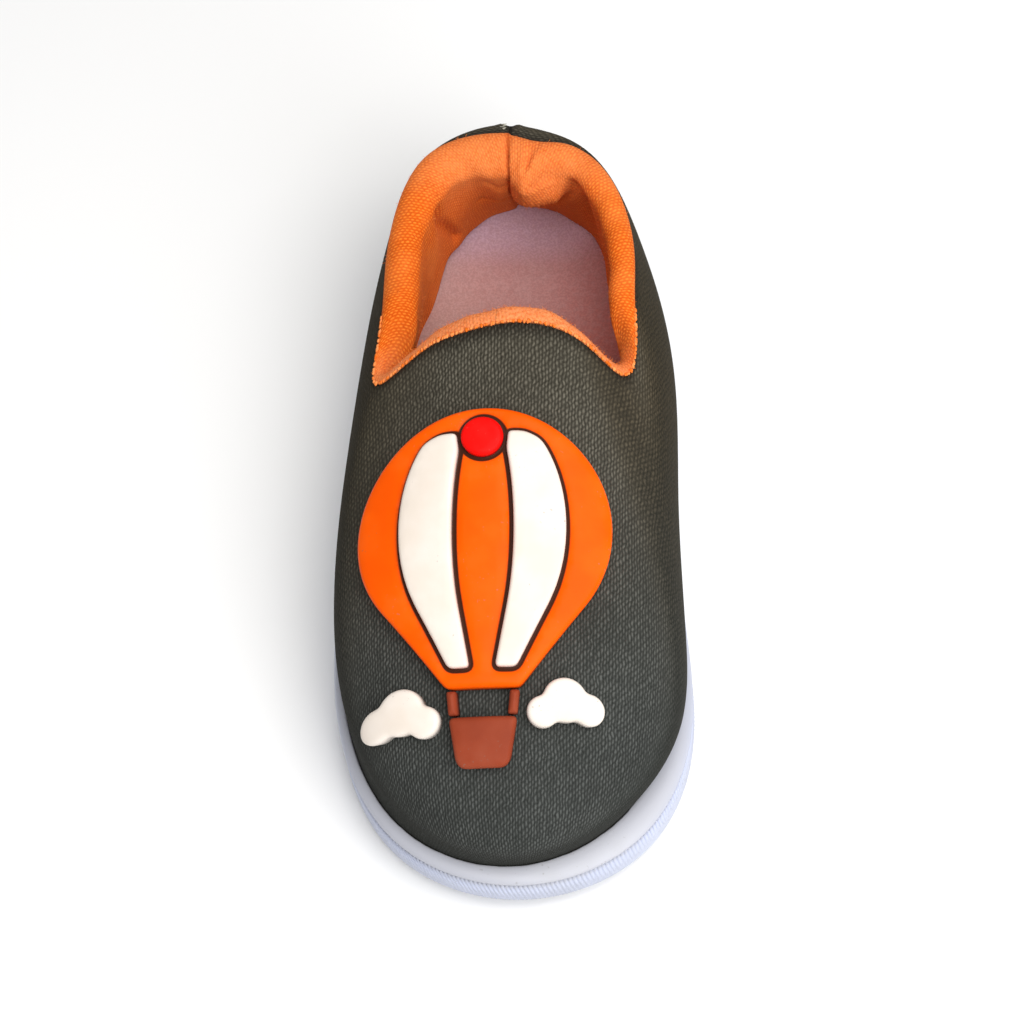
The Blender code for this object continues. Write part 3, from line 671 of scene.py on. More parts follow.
# Painted shade: the lateral side toward the heel is darkened
lit = blend_colours(tree, lateral_painted_shade, lit, (0.070, 0.062, 0.042))
deep = blend_colours(tree, toward_heel, (0.018, 0.020, 0.018), (0.022, 0.019, 0.013))
colour = blend_colours(tree, light, deep, lit)
# Darker along the heel seam, and painted shadow along the collar's sewn edge
colour = blend_colours(tree, surface_value(tree, "seam"), colour, (0.006, 0.006, 0.006), 0.85)
feed(tree, shader, "Base Color", colour)
feed(tree, shader, "Roughness", smooth_step(tree, threads["Shade"], 0.0, 1.0, 0.82, 0.95))
relief = calc(tree, "MULTIPLY_ADD", rough, 0.3, threads["Thread"])
feed(tree, shader, "Normal", bump(tree, relief, 0.12, 0.8))
feed(tree, shader, "Specular IOR Level", 0.05)
feed(tree, shader, "Sheen Weight", 0.02)
feed(tree, shader, "Sheen Tint", (1.0, 0.86, 0.66, 1))
feed(tree, shader, "Sheen Roughness", 0.45)

upper_faces = ring_faces(*upper_grid.shape[:2], True)
upper = add_mesh("woven_upper", upper_grid, upper_faces, upper_cloth)
set_values(upper, "threads", thread_places.reshape(-1, 3))
set_values(upper, "seam", seam_and_edge_shadow_places.ravel())
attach(upper, "root")
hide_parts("upper")

# Collar
# A cuff of orange looped knit over soft foam: folded over the upper's top edge as a binding, and run down
# inside the quarters as a padded lining. A seam closes it at the heel, and the slack knit bags beside it.
ROLL_STEPS = 15
LINING_STEPS = 40
BACK_STEPS = 4
LINING_FLOOR = 2.6
HEEL_CUP = 4.2
ROLL_PROUD = 0.25
THROAT_LEAN = 0.8
LOOP_PITCH = 0.62
LOOP_RUN = 0.95
LOOP_TURN = 12
# Columns: depth of the lining as a share of the wall, thickness of the pad at its top and at its foot, how
# far it swells between them, how far the rolled edge stands up, and how straight (0 to 1) the lining spans.
COLLAR_SECTIONS = (
    (1.00, 7.4, 1.0, 0.6, 2.4, 0.90),
    (1.00, 6.2, 4.2, -0.3, 2.6, 0.90),
    (1.00, 4.2, 3.0, 0.5, 2.9, 0.95),
    (0.98, 4.3, 0.7, 0.8, 3.1, 1.00),
    (0.80, 3.8, 0.7, 0.7, 3.0, 0.95),
    (0.38, 2.0, 0.9, 0.2, 2.9, 0.60),
    (0.15, 1.1, 0.5, 0.0, 3.4, 0.20),
    (0.10, 1.0, 0.45, 0.0, 3.4, 0.00),
    (0.09, 1.0, 0.45, 0.0, 3.4, 0.00),
    (0.10, 1.0, 0.45, 0.0, 3.4, 0.00),
    (0.15, 1.1, 0.5, 0.0, 3.5, 0.20),
    (0.38, 1.6, 0.8, 0.0, 3.0, 0.40),
    (0.80, 2.2, 0.7, 0.2, 2.5, 0.60),
    (0.98, 2.6, 0.7, 0.3, 2.6, 0.70),
    (1.00, 2.6, 0.7, 0.4, 2.6, 0.70),
    (1.00, 4.6, 0.4, 0.4, 2.6, 0.90),
)
# Where the slack knit bags beside the heel seam. Columns: along the collar, reach, extra thickness.
KNIT_BAGS = ((7.0, 5.0, 3.2), (-5.5, 4.0, 0.6))
# Soft swells and hollows. Columns: along the collar from the heel seam (medial plus), down the collar (-1
# its outer edge, 0 the top of the lining, 1 its foot), reach along, reach down, how far it swells.
LINING_SWELLS = (
    (5.0, 0.30, 5.0, 0.22, 1.2),
    (12.5, 0.18, 5.0, 0.19, 2.6),
    (19.5, 0.35, 3.5, 0.40, -1.8),
    (-12.5, 0.40, 6.5, 0.30, -0.5),
    (-15.5, 0.52, 4.5, 0.28, 0.9),
    (-3.0, 0.35, 3.0, 0.30, 0.8),
)
# Creases. Each: half its width, its depth, and its course as places along and down the collar.
LINING_CREASES = (
    (0.60, 1.1, ((0.2, -0.85), (-0.3, -0.5), (0.2, -0.1), (0.8, 0.5), (0.9, 1.0))),
    (1.4, 1.8, ((1.5, 0.70), (6.0, 0.67), (11.0, 0.50), (15.5, 0.27), (18.0, 0.02))),
    (1.3, 1.6, ((-25.5, 0.06), (-24.0, 0.30), (-21.0, 0.55), (-17.5, 0.85))),
    (0.6, 0.7, ((4.6, -0.92), (5.4, -0.45))),
    (0.6, 0.5, ((6.6, -0.92), (5.6, -0.50))),
    (1.0, 0.5, ((-7.0, 0.12), (-3.5, 0.22), (-0.5, 0.16))),
    (0.9, 0.45, ((-9.0, 0.50), (-4.0, 0.56), (-0.5, 0.48))),
)
ROLL_SPAN = 9.0
LINING_SPAN = 26.0
GATHER_PITCH = 1.15
GATHER_DEPTH = 0.22
# Middle and reach of the gathers, each along and down the collar
GATHER_PLACE = (7.5, 0.12)
GATHER_REACH = (5.0, 0.22)
# Soft waves of the knit. Columns: height, turns along, turns down, start
SOFT_WAVES = ((0.10, 0.42, 2.4, 0.0), (0.08, 0.83, -4.0, 1.0))
RELIEF_FADE = (-1.0, -0.6)
ROLL_SPARE = 0.9
PAD_LEAST = 0.3
CUP_STRETCH = (44.0, 60.0)
UPRIGHT_TO = 62.0
UPRIGHT_FADE = 16.0
KNIT_SEAM_HALF = 0.55
THROAT_FROM = 58.0
THROAT_FADE = 10.0
HEEL_KNIT_TO = 28.0
HEEL_KNIT_FADE = 12.0
HEEL_BRUSHED = 0.4
BRUSHED_LOSS = 0.5
BRUSHED_SPAN = 0.5
LINING_SHADE_FROM = 0.12
LINING_SHADE_SPAN = 0.4

lining_depth, pad, foot_pad, pad_swell, nose, taut = round_the_shoe(COLLAR_SECTIONS)
heel_cup = HEEL_CUP * eased(edge_y, *CUP_STRETCH)
top_line = upper_outer[:, -1]
top_steps = np.linalg.norm(np.roll(top_line, -1, axis=0) - top_line, axis=1)
from_heel = np.concatenate([[0], np.cumsum(top_steps)[:-1]])
collar_length = top_steps.sum()
# Lateral is minus and medial plus, from the heel seam round to the middle of the throat
along_collar = np.where(from_heel < collar_length / 2, -from_heel, collar_length - from_heel)
for bag_along, bag_reach, bag_swell in KNIT_BAGS:
    pad = pad + bag_swell * hill(along_collar - bag_along, bag_reach)


def spread_down(down):
    """Millimetres down the collar for places down it, from minus on the roll to plus on the lining."""
    return np.where(down < 0, down * ROLL_SPAN, down * LINING_SPAN)


def lining_relief(along, down):
    """How far the knit swells out of its plain form at places along and down the collar."""
    relief = 0
    for height, turns_along, turns_down, start in SOFT_WAVES:
        relief = relief + height * np.sin(along * turns_along + down * turns_down + start)
    for at_along, at_down, reach_along, reach_down, swell in LINING_SWELLS:
        relief = relief + swell * hill(along - at_along, reach_along) * hill(down - at_down, reach_down)
    for half, depth, course in LINING_CREASES:
        nearest = np.full(np.broadcast(along, down).shape, 1e9)
        for (start_along, start_down), (end_along, end_down) in zip(course, course[1:]):
            run_along = end_along - start_along
            run_down = spread_down(end_down) - spread_down(start_down)
            off_along = along - start_along
            off_down = spread_down(down) - spread_down(start_down)
            passed = off_along * run_along + off_down * run_down
            share = np.clip(passed / (run_along**2 + run_down**2), 0, 1)
            away = np.hypot(off_along - share * run_along, off_down - share * run_down)
            nearest = np.minimum(nearest, away)
        relief = relief - depth * hill(nearest, half)
    gathered = hill(along - GATHER_PLACE[0], GATHER_REACH[0]) * hill(down - GATHER_PLACE[1], GATHER_REACH[1])
    relief = relief + GATHER_DEPTH * gathered * np.sin(2 * math.pi * along / GATHER_PITCH + 3 * down)
    return relief * eased(down, *RELIEF_FADE)


# On the quarters and the heel the roll stands upright, and on the throat it folds square to the cloth
upright_share = np.clip((UPRIGHT_TO - np.abs(along_collar)) / UPRIGHT_FADE, 0, 1)


def run_length(points):
    """Running length at each point of a line."""
    return np.concatenate([[0], np.cumsum(np.linalg.norm(np.diff(points, axis=0), axis=1))])


def read_along(at, places, values):
    """Rows of values, known at places along a line, read at other places."""
    return np.stack([np.interp(at, places, column) for column in values.T], axis=-1)


def collar_section(i):
    """Closed section of the collar at one place of the loop, and how thick its pad is down the lining."""
    wall = upper_outer[i, ::-1]
    normals = upper_normals[i, ::-1]
    floor = bed_height[i] + LINING_FLOOR + heel_cup[i]
    under = wall - (WALL + GAP) * normals
    down = run_length(under)
    foot_down = np.interp(-floor, -under[:, 2], down)
    shares = np.linspace(0, 1, LINING_STEPS + 1)[:, None]
    places = shares[:, 0] * lining_depth[i] * foot_down
    back = read_along(places, down, under)
    square = read_along(places, down, normals)
    level = np.array([edge_out[0, i], edge_out[1, i], 0])
    out = unit(square + upright_share[i] * (level - square))
    hugging = back - out * (pad[i] + (foot_pad[i] - pad[i]) * shares**2)
    straight = hugging[0] + shares * (hugging[-1] - hugging[0])
    front = hugging + taut[i] * (straight - hugging) - out * pad_swell[i] * np.sin(math.pi * shares**0.8)
    past_edge = unit(wall[0] - wall[1])
    edge = wall[0] + normals[0] * ROLL_PROUD + past_edge * GAP
    half_span = (edge - front[0]) / 2
    crest = past_edge + (1 - upright_share[i]) * THROAT_LEAN * np.array([0, 1, 0.3])
    crest = crest + upright_share[i] * (np.array([0, 0, 1]) - past_edge)
    crest = unit(crest - half_span * (crest @ half_span) / (half_span @ half_span))
    angles = np.linspace(0, math.pi, ROLL_STEPS + 1)[:-1, None]
    roll = front[0] + half_span + half_span * np.cos(angles) + nose[i] * crest * np.sin(angles)
    shoulder = back[0] + past_edge * GAP
    behind = back[np.linspace(LINING_STEPS, 1, BACK_STEPS).astype(int)]
    return np.concatenate([roll, front, behind, [shoulder]]), np.linalg.norm(front - back, axis=1)


collar_parts = [collar_section(i) for i in range(loop_count)]
collar_grid = np.stack([section for section, _ in collar_parts])
collar_depth = collar_grid.shape[1]
shown_rows = ROLL_STEPS + LINING_STEPS + 1
roll_down = np.linspace(-1, 0, ROLL_STEPS, endpoint=False)
collar_down = np.concatenate([roll_down, np.linspace(0, 1, LINING_STEPS + 1)])
roll_spare = np.full(ROLL_STEPS, ROLL_SPARE)
pad_spare = np.stack([np.concatenate([roll_spare, thick - PAD_LEAST]) for _, thick in collar_parts])
knit_relief = np.maximum(lining_relief(along_collar[:, None], collar_down[None]), -np.maximum(pad_spare, 0))
collar_grid[:, :shown_rows] += knit_relief[..., None] * outward_normals(collar_grid[:, :shown_rows])
collar_steps = np.diff(collar_grid, axis=1, prepend=collar_grid[:, :1])
collar_run = np.cumsum(np.linalg.norm(collar_steps, axis=-1), axis=1)
knit_along = np.repeat(along_collar[:, None], collar_depth, axis=1)
knit_places = np.stack([knit_along, collar_run, np.zeros_like(collar_run)], axis=-1)
seam_near = hill(along_collar, KNIT_SEAM_HALF)
# The knit is paler and more brushed on the throat's binding, and a little at the heel
on_throat = np.clip((np.abs(along_collar) - THROAT_FROM) / THROAT_FADE, 0, 1)
on_heel = np.clip((HEEL_KNIT_TO - np.abs(along_collar)) / HEEL_KNIT_FADE, 0, 1)
brushed = np.repeat((on_throat + HEEL_BRUSHED * on_heel)[:, None], collar_depth, axis=1)
brushed[:, :shown_rows] *= 1 - BRUSHED_LOSS * np.clip(collar_down / BRUSHED_SPAN, 0, 1)
# Down the heel's lining the knit is set darker, as it looks in the photograph: painted shade
lining_tone = np.zeros_like(brushed)
low_lining = np.clip((collar_down - LINING_SHADE_FROM) / LINING_SHADE_SPAN, 0, 1)
lining_tone[:, :shown_rows] = on_heel[:, None] * low_lining

collar_knit, tree, shader = new_material("orange_knit")
place = object_place(tree)
turn = {"Vector": surface_value(tree, "knit", "Vector"), "Angle": math.radians(LOOP_TURN)}
run = axes_of(tree, output_of(tree, "ShaderNodeVectorRotate", turn, rotation_type="Z_AXIS"))
loops = use_group(
    tree,
    thread_group,
    Across=calc(tree, "ADD", run["X"], waver(tree, place, 260.0, 3.0, 1.1)),
    Along=calc(tree, "ADD", run["Y"], waver(tree, place, 520.0, 2.0, 0.9)),
    Column_Pitch=LOOP_PITCH,
    Row_Pitch=LOOP_RUN,
    Bead=0.85,
)
fuzz = noise(tree, place, 1700.0, 3.0, 0.65)
patchy = noise(tree, place, 110.0, 3.0)
light = calc(tree, "MULTIPLY", loops["Thread"], calc(tree, "MULTIPLY_ADD", loops["Shade"], 0.4, 0.7))
light = calc(tree, "ADD", light, calc(tree, "SUBTRACT", fuzz, 0.5))
colour = blend_colours(tree, light, (0.64, 0.088, 0.003), (0.98, 0.245, 0.028))
colour = blend_colours(tree, smooth_step(tree, patchy, 0.4, 0.75, 0.0, 0.3), colour, (0.97, 0.30, 0.07))
fuzzy = smooth_step(tree, fuzz, 0.3, 0.65, 0.35, 0.85)
pale = calc(tree, "MULTIPLY", surface_value(tree, "brushed"), fuzzy)
colour = blend_colours(tree, pale, colour, (0.94, 0.33, 0.13))
colour = blend_colours(tree, surface_value(tree, "seam"), colour, (0.38, 0.05, 0.006), 0.7)
# Painted shade down the heel's lining
colour = blend_colours(tree, surface_value(tree, "lining_tone"), colour, (0.46, 0.075, 0.012), 0.55)
feed(tree, shader, "Base Color", colour)
feed(tree, shader, "Roughness", smooth_step(tree, fuzz, 0.3, 0.7, 0.85, 1.0))
relief = calc(tree, "MULTIPLY_ADD", fuzz, 0.9, calc(tree, "MULTIPLY", loops["Thread"], 0.8))
feed(tree, shader, "Normal", bump(tree, relief, 0.14, 0.7))
feed(tree, shader, "Specular IOR Level", 0.1)
feed(tree, shader, "Sheen Weight", 0.12)
feed(tree, shader, "Sheen Roughness", 0.5)
feed(tree, shader, "Sheen Tint", (1.0, 0.5, 0.2, 1))

collar = add_mesh("padded_collar", collar_grid, ring_faces(loop_count, collar_depth, True), collar_knit)
set_values(collar, "knit", knit_places.reshape(-1, 3))
set_values(collar, "seam", np.repeat(seam_near, collar_depth))
set_values(collar, "brushed", brushed.ravel())
set_values(collar, "lining_tone", lining_tone.ravel())
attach(collar, "root")
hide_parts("collar")

# Fibres of the collar
# Loose ends of the brushed orange yarn that stand off the knit, thickest on the binding over the throat, and
# the cut loops along its outer edge, where the binding is sewn down on the cloth.
FIBRE_LENGTH = 0.6
FIBRE_THICKNESS = 0.05
FIBRES_PER_MM2 = 2.2
FIBRE_LEAN = 0.8
FIBRE_TURN = 6.283
FLUFF_EVERYWHERE = 0.12
BARE_FOOT_ROWS = 6
EDGE_LOOPS_HALF = 41.0
EDGE_LOOP_PITCH = 0.58
EDGE_LOOP_STRAY = 0.35


def fibre_tree(name, material):
    """A tree that scatters bent fibres over a mesh, as densely as its fluff value says."""
    sizes = {"Per Square Metre": 1e6, "Length": 0.001, "Thickness": 0.0001, "Seed": 3}
    tree, given, result = add_tree(name, sizes)
    spread = output_of(tree, "GeometryNodeInputNamedAttribute", {"Name": "fluff"}, data_type="FLOAT")
    density = calc(tree, "MULTIPLY", given["Per Square Metre"], spread)
    faces = {"Mesh": given["Geometry"], "Density": density, "Seed": given["Seed"]}
    roots = add_node(tree, "GeometryNodeDistributePointsOnFaces", faces).outputs
    bend = {"Resolution": 3, "Start": (0, 0, -0.15), "Middle": (0, 0, 0.6), "End": (0.55, 0, 0.8)}
    line = output_of(tree, "GeometryNodeCurveQuadraticBezier", bend)
    slim = calc(tree, "DIVIDE", calc(tree, "MULTIPLY", given["Thickness"], 0.5), given["Length"])
    ring = output_of(tree, "GeometryNodeCurvePrimitiveCircle", {"Resolution": 3, "Radius": slim})
    tube = {"Curve": line, "Profile Curve": ring, "Fill Caps": True}
    fibre = output_of(tree, "GeometryNodeCurveToMesh", tube)
    least = (-FIBRE_LEAN, -FIBRE_LEAN, 0.0)
    most = (FIBRE_LEAN, FIBRE_LEAN, FIBRE_TURN)
    leans = {0: least, 1: most, "Seed": given["Seed"]}
    lean = output_of(tree, "FunctionNodeRandomValue", leans, data_type="FLOAT_VECTOR")
    turns = {0: roots["Rotation"], 1: lean}
    turned = output_of(tree, "FunctionNodeRotateRotation", turns, rotation_space="LOCAL")
    shares = {2: 0.4, 3: 1.2, "Seed": 7}
    share = add_node(tree, "FunctionNodeRandomValue", shares, data_type="FLOAT").outputs[1]
    size = calc(tree, "MULTIPLY", share, given["Length"])
    placed = {"Points": roots["Points"], "Instance": fibre, "Rotation": turned, "Scale": size}
    end_tree(tree, result, output_of(tree, "GeometryNodeInstanceOnPoints", placed), material)
    return tree


def bead_tree(name, material):
    """A tree that lays small rounded stitches on points, along their heading and square to their facing."""
    sizes = {"Length": 0.001, "Width": 0.0005, "Height": 0.0004, "Uneven": 0.3, "Seed": 5}
    tree, given, result = add_tree(name, sizes)
    bead = output_of(tree, "GeometryNodeMeshIcoSphere", {"Radius": 0.5, "Subdivisions": 1})
    vectors = []
    for label in ("heading", "facing"):
        node = add_node(tree, "GeometryNodeInputNamedAttribute", {"Name": label}, data_type="FLOAT_VECTOR")
        vectors.append(node.outputs[0])
    axes = {0: vectors[0], 1: vectors[1]}
    turned = output_of(tree, "FunctionNodeAxesToRotation", axes, primary_axis="X", secondary_axis="Z")
    least = calc(tree, "SUBTRACT", 1.0, given["Uneven"])
    most = calc(tree, "ADD", 1.0, given["Uneven"])
    share = {2: least, 3: most, "Seed": given["Seed"]}
    share = add_node(tree, "FunctionNodeRandomValue", share, data_type="FLOAT").outputs[1]
    length = calc(tree, "MULTIPLY", share, given["Length"])
    size = {"X": length, "Y": given["Width"], "Z": given["Height"]}
    size = output_of(tree, "ShaderNodeCombineXYZ", size)
    placed = {"Points": given["Geometry"], "Instance": bead, "Rotation": turned, "Scale": size}
    end_tree(tree, result, output_of(tree, "GeometryNodeInstanceOnPoints", placed), material)
    return tree


def add_spots(name, points, headings, facings):
    """Loose points in millimetres that carry a heading and a facing, for a tree to lay stitches on."""
    mesh = bpy.data.meshes.new(name)
    mesh.from_pydata((np.asarray(points) * MM).tolist(), [], [])
    piece = bpy.data.objects.new(name, mesh)
    bpy.context.scene.collection.objects.link(piece)
    set_values(piece, "heading", headings)
    set_values(piece, "facing", facings)
    return piece


orange_yarn, tree, shader = new_material("orange_yarn")
strand = noise(tree, object_place(tree), 700.0, 2.0)
colour = blend_colours(tree, smooth_step(tree, strand, 0.35, 0.65), (0.80, 0.16, 0.015), (0.96, 0.33, 0.10))
feed(tree, shader, "Base Color", colour)
feed(tree, shader, "Roughness", smooth_step(tree, strand, 0.3, 0.7, 0.85, 1.0))
feed(tree, shader, "Specular IOR Level", 0.05)

fluff_share = np.zeros((loop_count, collar_depth))
fluff_share[:, 1:shown_rows] = FLUFF_EVERYWHERE + on_throat[:, None]
fluff_share[:, shown_rows - BARE_FOOT_ROWS:] = 0
set_values(collar, "fluff", fluff_share.ravel())
fluff_sizes = {"Length": FIBRE_LENGTH * MM, "Thickness": FIBRE_THICKNESS * MM, "Seed": 11}
fluff_sizes["Per_Square_Metre"] = FIBRES_PER_MM2 * 1e6
fluff = grow("collar_fibres", fibre_tree("collar fibres", orange_yarn), collar, **fluff_sizes)
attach(fluff, "root")

edge_numbers = np.arange(int(collar_length / EDGE_LOOP_PITCH))
edge_places = (edge_numbers + 0.5 + EDGE_LOOP_STRAY * np.sin(edge_numbers * 2.4)) * EDGE_LOOP_PITCH
edge_ring = np.append(from_heel, collar_length)


def round_edge(values):
    """Values at even steps round the collar's outer edge."""
    return read_along(edge_places, edge_ring, np.concatenate([values, values[:1]]))


edge_points = round_edge(collar_grid[:, 0])
edge_facing = round_edge(upper_normals[:, -1])
edge_heading = unit(round_edge(upper_outer[:, -2] - upper_outer[:, -1]))
edge_heading += EDGE_LOOP_STRAY * np.sin(edge_numbers * 5.1)[:, None] * np.cross(edge_facing, edge_heading)
edge_shown = np.abs(edge_places - collar_length / 2) < EDGE_LOOPS_HALF
edge_rows = [values[edge_shown] for values in (edge_points, edge_heading, edge_facing)]
edge_spots = add_spots("edge_spots", *edge_rows)
edge_sizes = {"Length": 0.85 * MM, "Width": 0.60 * MM, "Height": 0.50 * MM, "Uneven": 0.45, "Seed": 8}
edge_loops = grow("binding_edge_loops", bead_tree("edge loops", orange_yarn), edge_spots, **edge_sizes)
bpy.data.objects.remove(edge_spots)
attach(edge_loops, "root")

# Heel stitches
# A few whitish bar-tack stitches of polyester thread, sewn across the top of the heel seam to keep it from
# opening.
TACK_COUNT = 5
TACK_PITCH = 0.6
TACK_FROM = 1.2
TACK_PROUD = 0.05
TACK_ASIDE = 1.2
TACK_ZIGZAG = 0.25

thread_white, tree, shader = new_material("white_thread")
twist = noise(tree, object_place(tree), 2500.0, 2.0)
feed(tree, shader, "Base Color", blend_colours(tree, twist, (0.30, 0.28, 0.22), (0.62, 0.60, 0.52)))
feed(tree, shader, "Roughness", smooth_step(tree, twist, 0.3, 0.7, 0.6, 0.8))

heel_line = upper_outer[0, ::-1]
heel_down = run_length(heel_line)
tack_down = TACK_FROM + TACK_PITCH * np.arange(TACK_COUNT)
tack_points = read_along(tack_down, heel_down, heel_line)
tack_facing = read_along(tack_down, heel_down, upper_normals[0, ::-1])
tack_points += TACK_PROUD * tack_facing
tack_points[:, 0] -= TACK_ASIDE
tack_heading = np.array([(1.0, 0.0, TACK_ZIGZAG * (-1) ** k) for k in range(TACK_COUNT)])
tack_spots = add_spots("tack_spots", tack_points, tack_heading, tack_facing)
tack_sizes = {"Length": 1.5 * MM, "Width": 0.28 * MM, "Height": 0.22 * MM, "Uneven": 0.3, "Seed": 2}
tacks = grow("heel_stitches", bead_tree("heel tacks", thread_white), tack_spots, **tack_sizes)
bpy.data.objects.remove(tack_spots)
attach(tacks, "root")

# Insole
# A sheet of soft foam faced with thin pale cloth, die-cut to the inside of the shoe and laid on the sole's
# bed. It is cupped up a little round the heel, where its cut edge is frayed.
INSOLE_THICKNESS = 3.0
INSOLE_SPINE = (-38.0, 44.0)
CUP_REACH = 0.4
FRAY_TO = 0.03
# Columns: share of the way in from the edge to the middle line, drop below the top face
INSOLE_ROWS = (
    (0.985, 3.0), (0.4, 3.0), (0.25, 3.0), (0.12, 3.0), (0.05, 3.0), (0.0, 3.0),
    (0.0, 1.5), (0.0, 0.75), (0.004, 0.42), (0.011, 0.2), (0.022, 0.06), (0.04, 0.0),
    (0.07, 0.0), (0.10, 0.0), (0.15, 0.0), (0.2, 0.0), (0.26, 0.0), (0.32, 0.0),
    (0.4, 0.0), (0.5, 0.0), (0.6, 0.0), (0.75, 0.0), (0.9, 0.0), (0.985, 0.0),
)

lower_wall = (upper_outer - (WALL + GAP) * upper_normals)[:, : SKIRT_STEPS + 2]
insole_top = bed_height + GAP + INSOLE_THICKNESS


def inside_wall(heights):
    """The loop of points just inside the upper's wall, at a height for each place."""
    return np.array([read_along(z, side[:, 2], side) for z, side in zip(heights, lower_wall)])


half_loop = slice(loop_count // 2, 0, -1)


def insole_level(y):
    """Height of the insole's top face at a place along the shoe."""
    return np.interp(y, edge_y[half_loop], insole_top[half_loop])


insole_middle = inside_wall(insole_top)
insole_middle[:, 0] = 0
insole_middle[:, 1] = np.clip(insole_middle[:, 1], *INSOLE_SPINE)
insole_rows = []
for share, fall in INSOLE_ROWS:
    row = inside_wall(insole_top + heel_cup - fall)
    row = row + share * (insole_middle - row)
    row[:, 2] = insole_level(row[:, 1]) + heel_cup * max(1 - share / CUP_REACH, 0) ** 2 - fall
    insole_rows.append(row)
insole_grid = np.stack(insole_rows, axis=1)
insole_depth = len(INSOLE_ROWS)
insole_faces = ring_faces(loop_count, insole_depth, False)
insole_faces += strip_faces(loop_count, insole_depth, 0)
insole_faces += strip_faces(loop_count, insole_depth, insole_depth - 1)

insole_cloth, tree, shader = new_material("insole_cloth")
place = object_place(tree)
marks = use_group(tree, marks_group, Patch_Size=22.0, Speck_Size=0.45)
cloudy = noise(tree, place, 70.0, 4.0, 0.6)
fine = noise(tree, place, 2600.0, 2.0, 0.6)
warp = noise(tree, place, 900.0, 3.0, 0.6)
# Tones across and along the sheet, as they look in the photograph: painted light on the lateral side,
# painted shade and a painted orange reflection on the medial side, and a painted lilac sheen and highlight
# toward the heel end
parts = axes_of(tree, place)
toward_heel = smooth_step(tree, parts["Y"], 0.035, 0.062)
lateral_painted_light = smooth_step(tree, parts["X"], -0.018, 0.0, 0.9, 0.0)
medial_painted_shade = smooth_step(tree, parts["X"], 0.0, 0.018, 0.0, 0.9)
colour = blend_colours(tree, cloudy, (0.36, 0.172, 0.150), (0.46, 0.245, 0.215))
# Painted light on the lateral side
colour = blend_colours(tree, lateral_painted_light, colour, (0.50, 0.330, 0.295))
# Painted shade and a painted orange reflection on the medial side
colour = blend_colours(tree, medial_painted_shade, colour, (0.50, 0.160, 0.138))
# Painted lilac sheen toward the heel, and a painted lilac highlight at its end
colour = blend_colours(tree, toward_heel, colour, (0.46, 0.255, 0.275), 0.6)
heel_end_painted_highlight = smooth_step(tree, parts["Y"], 0.053, 0.061, 0.0, 0.6)
colour = blend_colours(tree, heel_end_painted_highlight, colour, (0.58, 0.43, 0.57))
colour = blend_colours(tree, smooth_step(tree, warp, 0.35, 0.7, 0.0, 0.3), colour, (0.50, 0.32, 0.31))
colour = blend_colours(tree, smooth_step(tree, fine, 0.40, 0.62, 0.28, 0.0), colour, (0.20, 0.085, 0.085))
colour = blend_colours(tree, marks["Smudge"], colour, (0.34, 0.20, 0.19), 0.25)
feed(tree, shader, "Base Color", colour)
feed(tree, shader, "Roughness", smooth_step(tree, cloudy, 0.2, 0.8, 0.78, 0.95))
feed(tree, shader, "Normal", bump(tree, calc(tree, "ADD", fine, warp), 0.10, 0.5))
feed(tree, shader, "Sheen Weight", 0.2)
feed(tree, shader, "Sheen Roughness", 0.5)

insole = add_mesh("foam_insole", insole_grid, insole_faces, insole_cloth)
frayed = (heel_cup / HEEL_CUP)[:, None] * [0 < share < FRAY_TO for share, _ in INSOLE_ROWS]
set_values(insole, "fluff", frayed.ravel())
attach(insole, "root")
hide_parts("insole")

fray_sizes = {"Per_Square_Metre": 14e6, "Length": 1.1 * MM, "Thickness": 0.08 * MM, "Seed": 6}
fray_thread, tree, shader = new_material("insole_fray")
strand = noise(tree, object_place(tree), 500.0, 2.0)
feed(tree, shader, "Base Color", blend_colours(tree, strand, (0.60, 0.36, 0.38), (0.80, 0.62, 0.66)))
feed(tree, shader, "Roughness", smooth_step(tree, strand, 0.3, 0.7, 0.8, 0.95))
fray = grow("insole_fray", fibre_tree("insole fray", fray_thread), insole, **fray_sizes)
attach(fray, "root")

# Badge
# A soft moulded motif, a balloon with a basket between two clouds, poured in coloured plastic and glued on
# the vamp. Its faces are satin, its edges rounded, and dark grooves part the raised inlays from the balloon.
BADGE_X = -3.0
BADGE_Y = -25.5
BADGE_FOOT = 0.12
BADGE_TOP = 2.85
INLAY_TOP = 4.15
BADGE_EDGE = 0.9
INLAY_EDGE = 0.7
OUTLINE_STEP = 0.35
FILL_STEP = 1.0
FILL_CLEAR = 0.4
SPOT_CLEAR = 0.05
OFFSET_SLACK = 0.15
GROOVE_HALF = 0.75
GROOVE_MIDDLE = 0.25
GROOVE_OFFSETS = (0.4, 0.15, -0.15, -0.35, -0.55, -0.8)
EDGE_SHARES = (0.12, 0.3, 0.55, 0.9)
GROOVE_DEPTH = 0.5
ENVELOPE_CENTRE = 9.5
ENVELOPE_RADIUS = 21.0
ENVELOPE_MOUTH = -17.0
ENVELOPE_MOUTH_HALF = 6.0
ENVELOPE_TAPER_FROM = 40
GORE_INNER = 0.24
GORE_OUTER = 0.64
GORE_MARGIN = 3.2
CROWN_RADIUS = 3.4
CROWN_AT = 25.2
CROWN_GROOVE = 0.7
ROPE_WIDTH = 1.6
BASKET_TOP = -21.5
BASKET_BOTTOM = -29.5
BASKET_HALF_TOP = 5.6
BASKET_HALF_BOTTOM = 4.4
BASKET_CHAMFER = 1.0
# Discs that make up each cloud: across, lengthways, radius
LATERAL_CLOUD = ((-9.6, -21.8, 2.6), (-13.4, -19.8, 3.7), (-17.2, -21.2, 2.7))
MEDIAL_CLOUD = ((9.6, -20.8, 2.6), (13.2, -18.8, 3.6), (16.9, -20.2, 2.6))

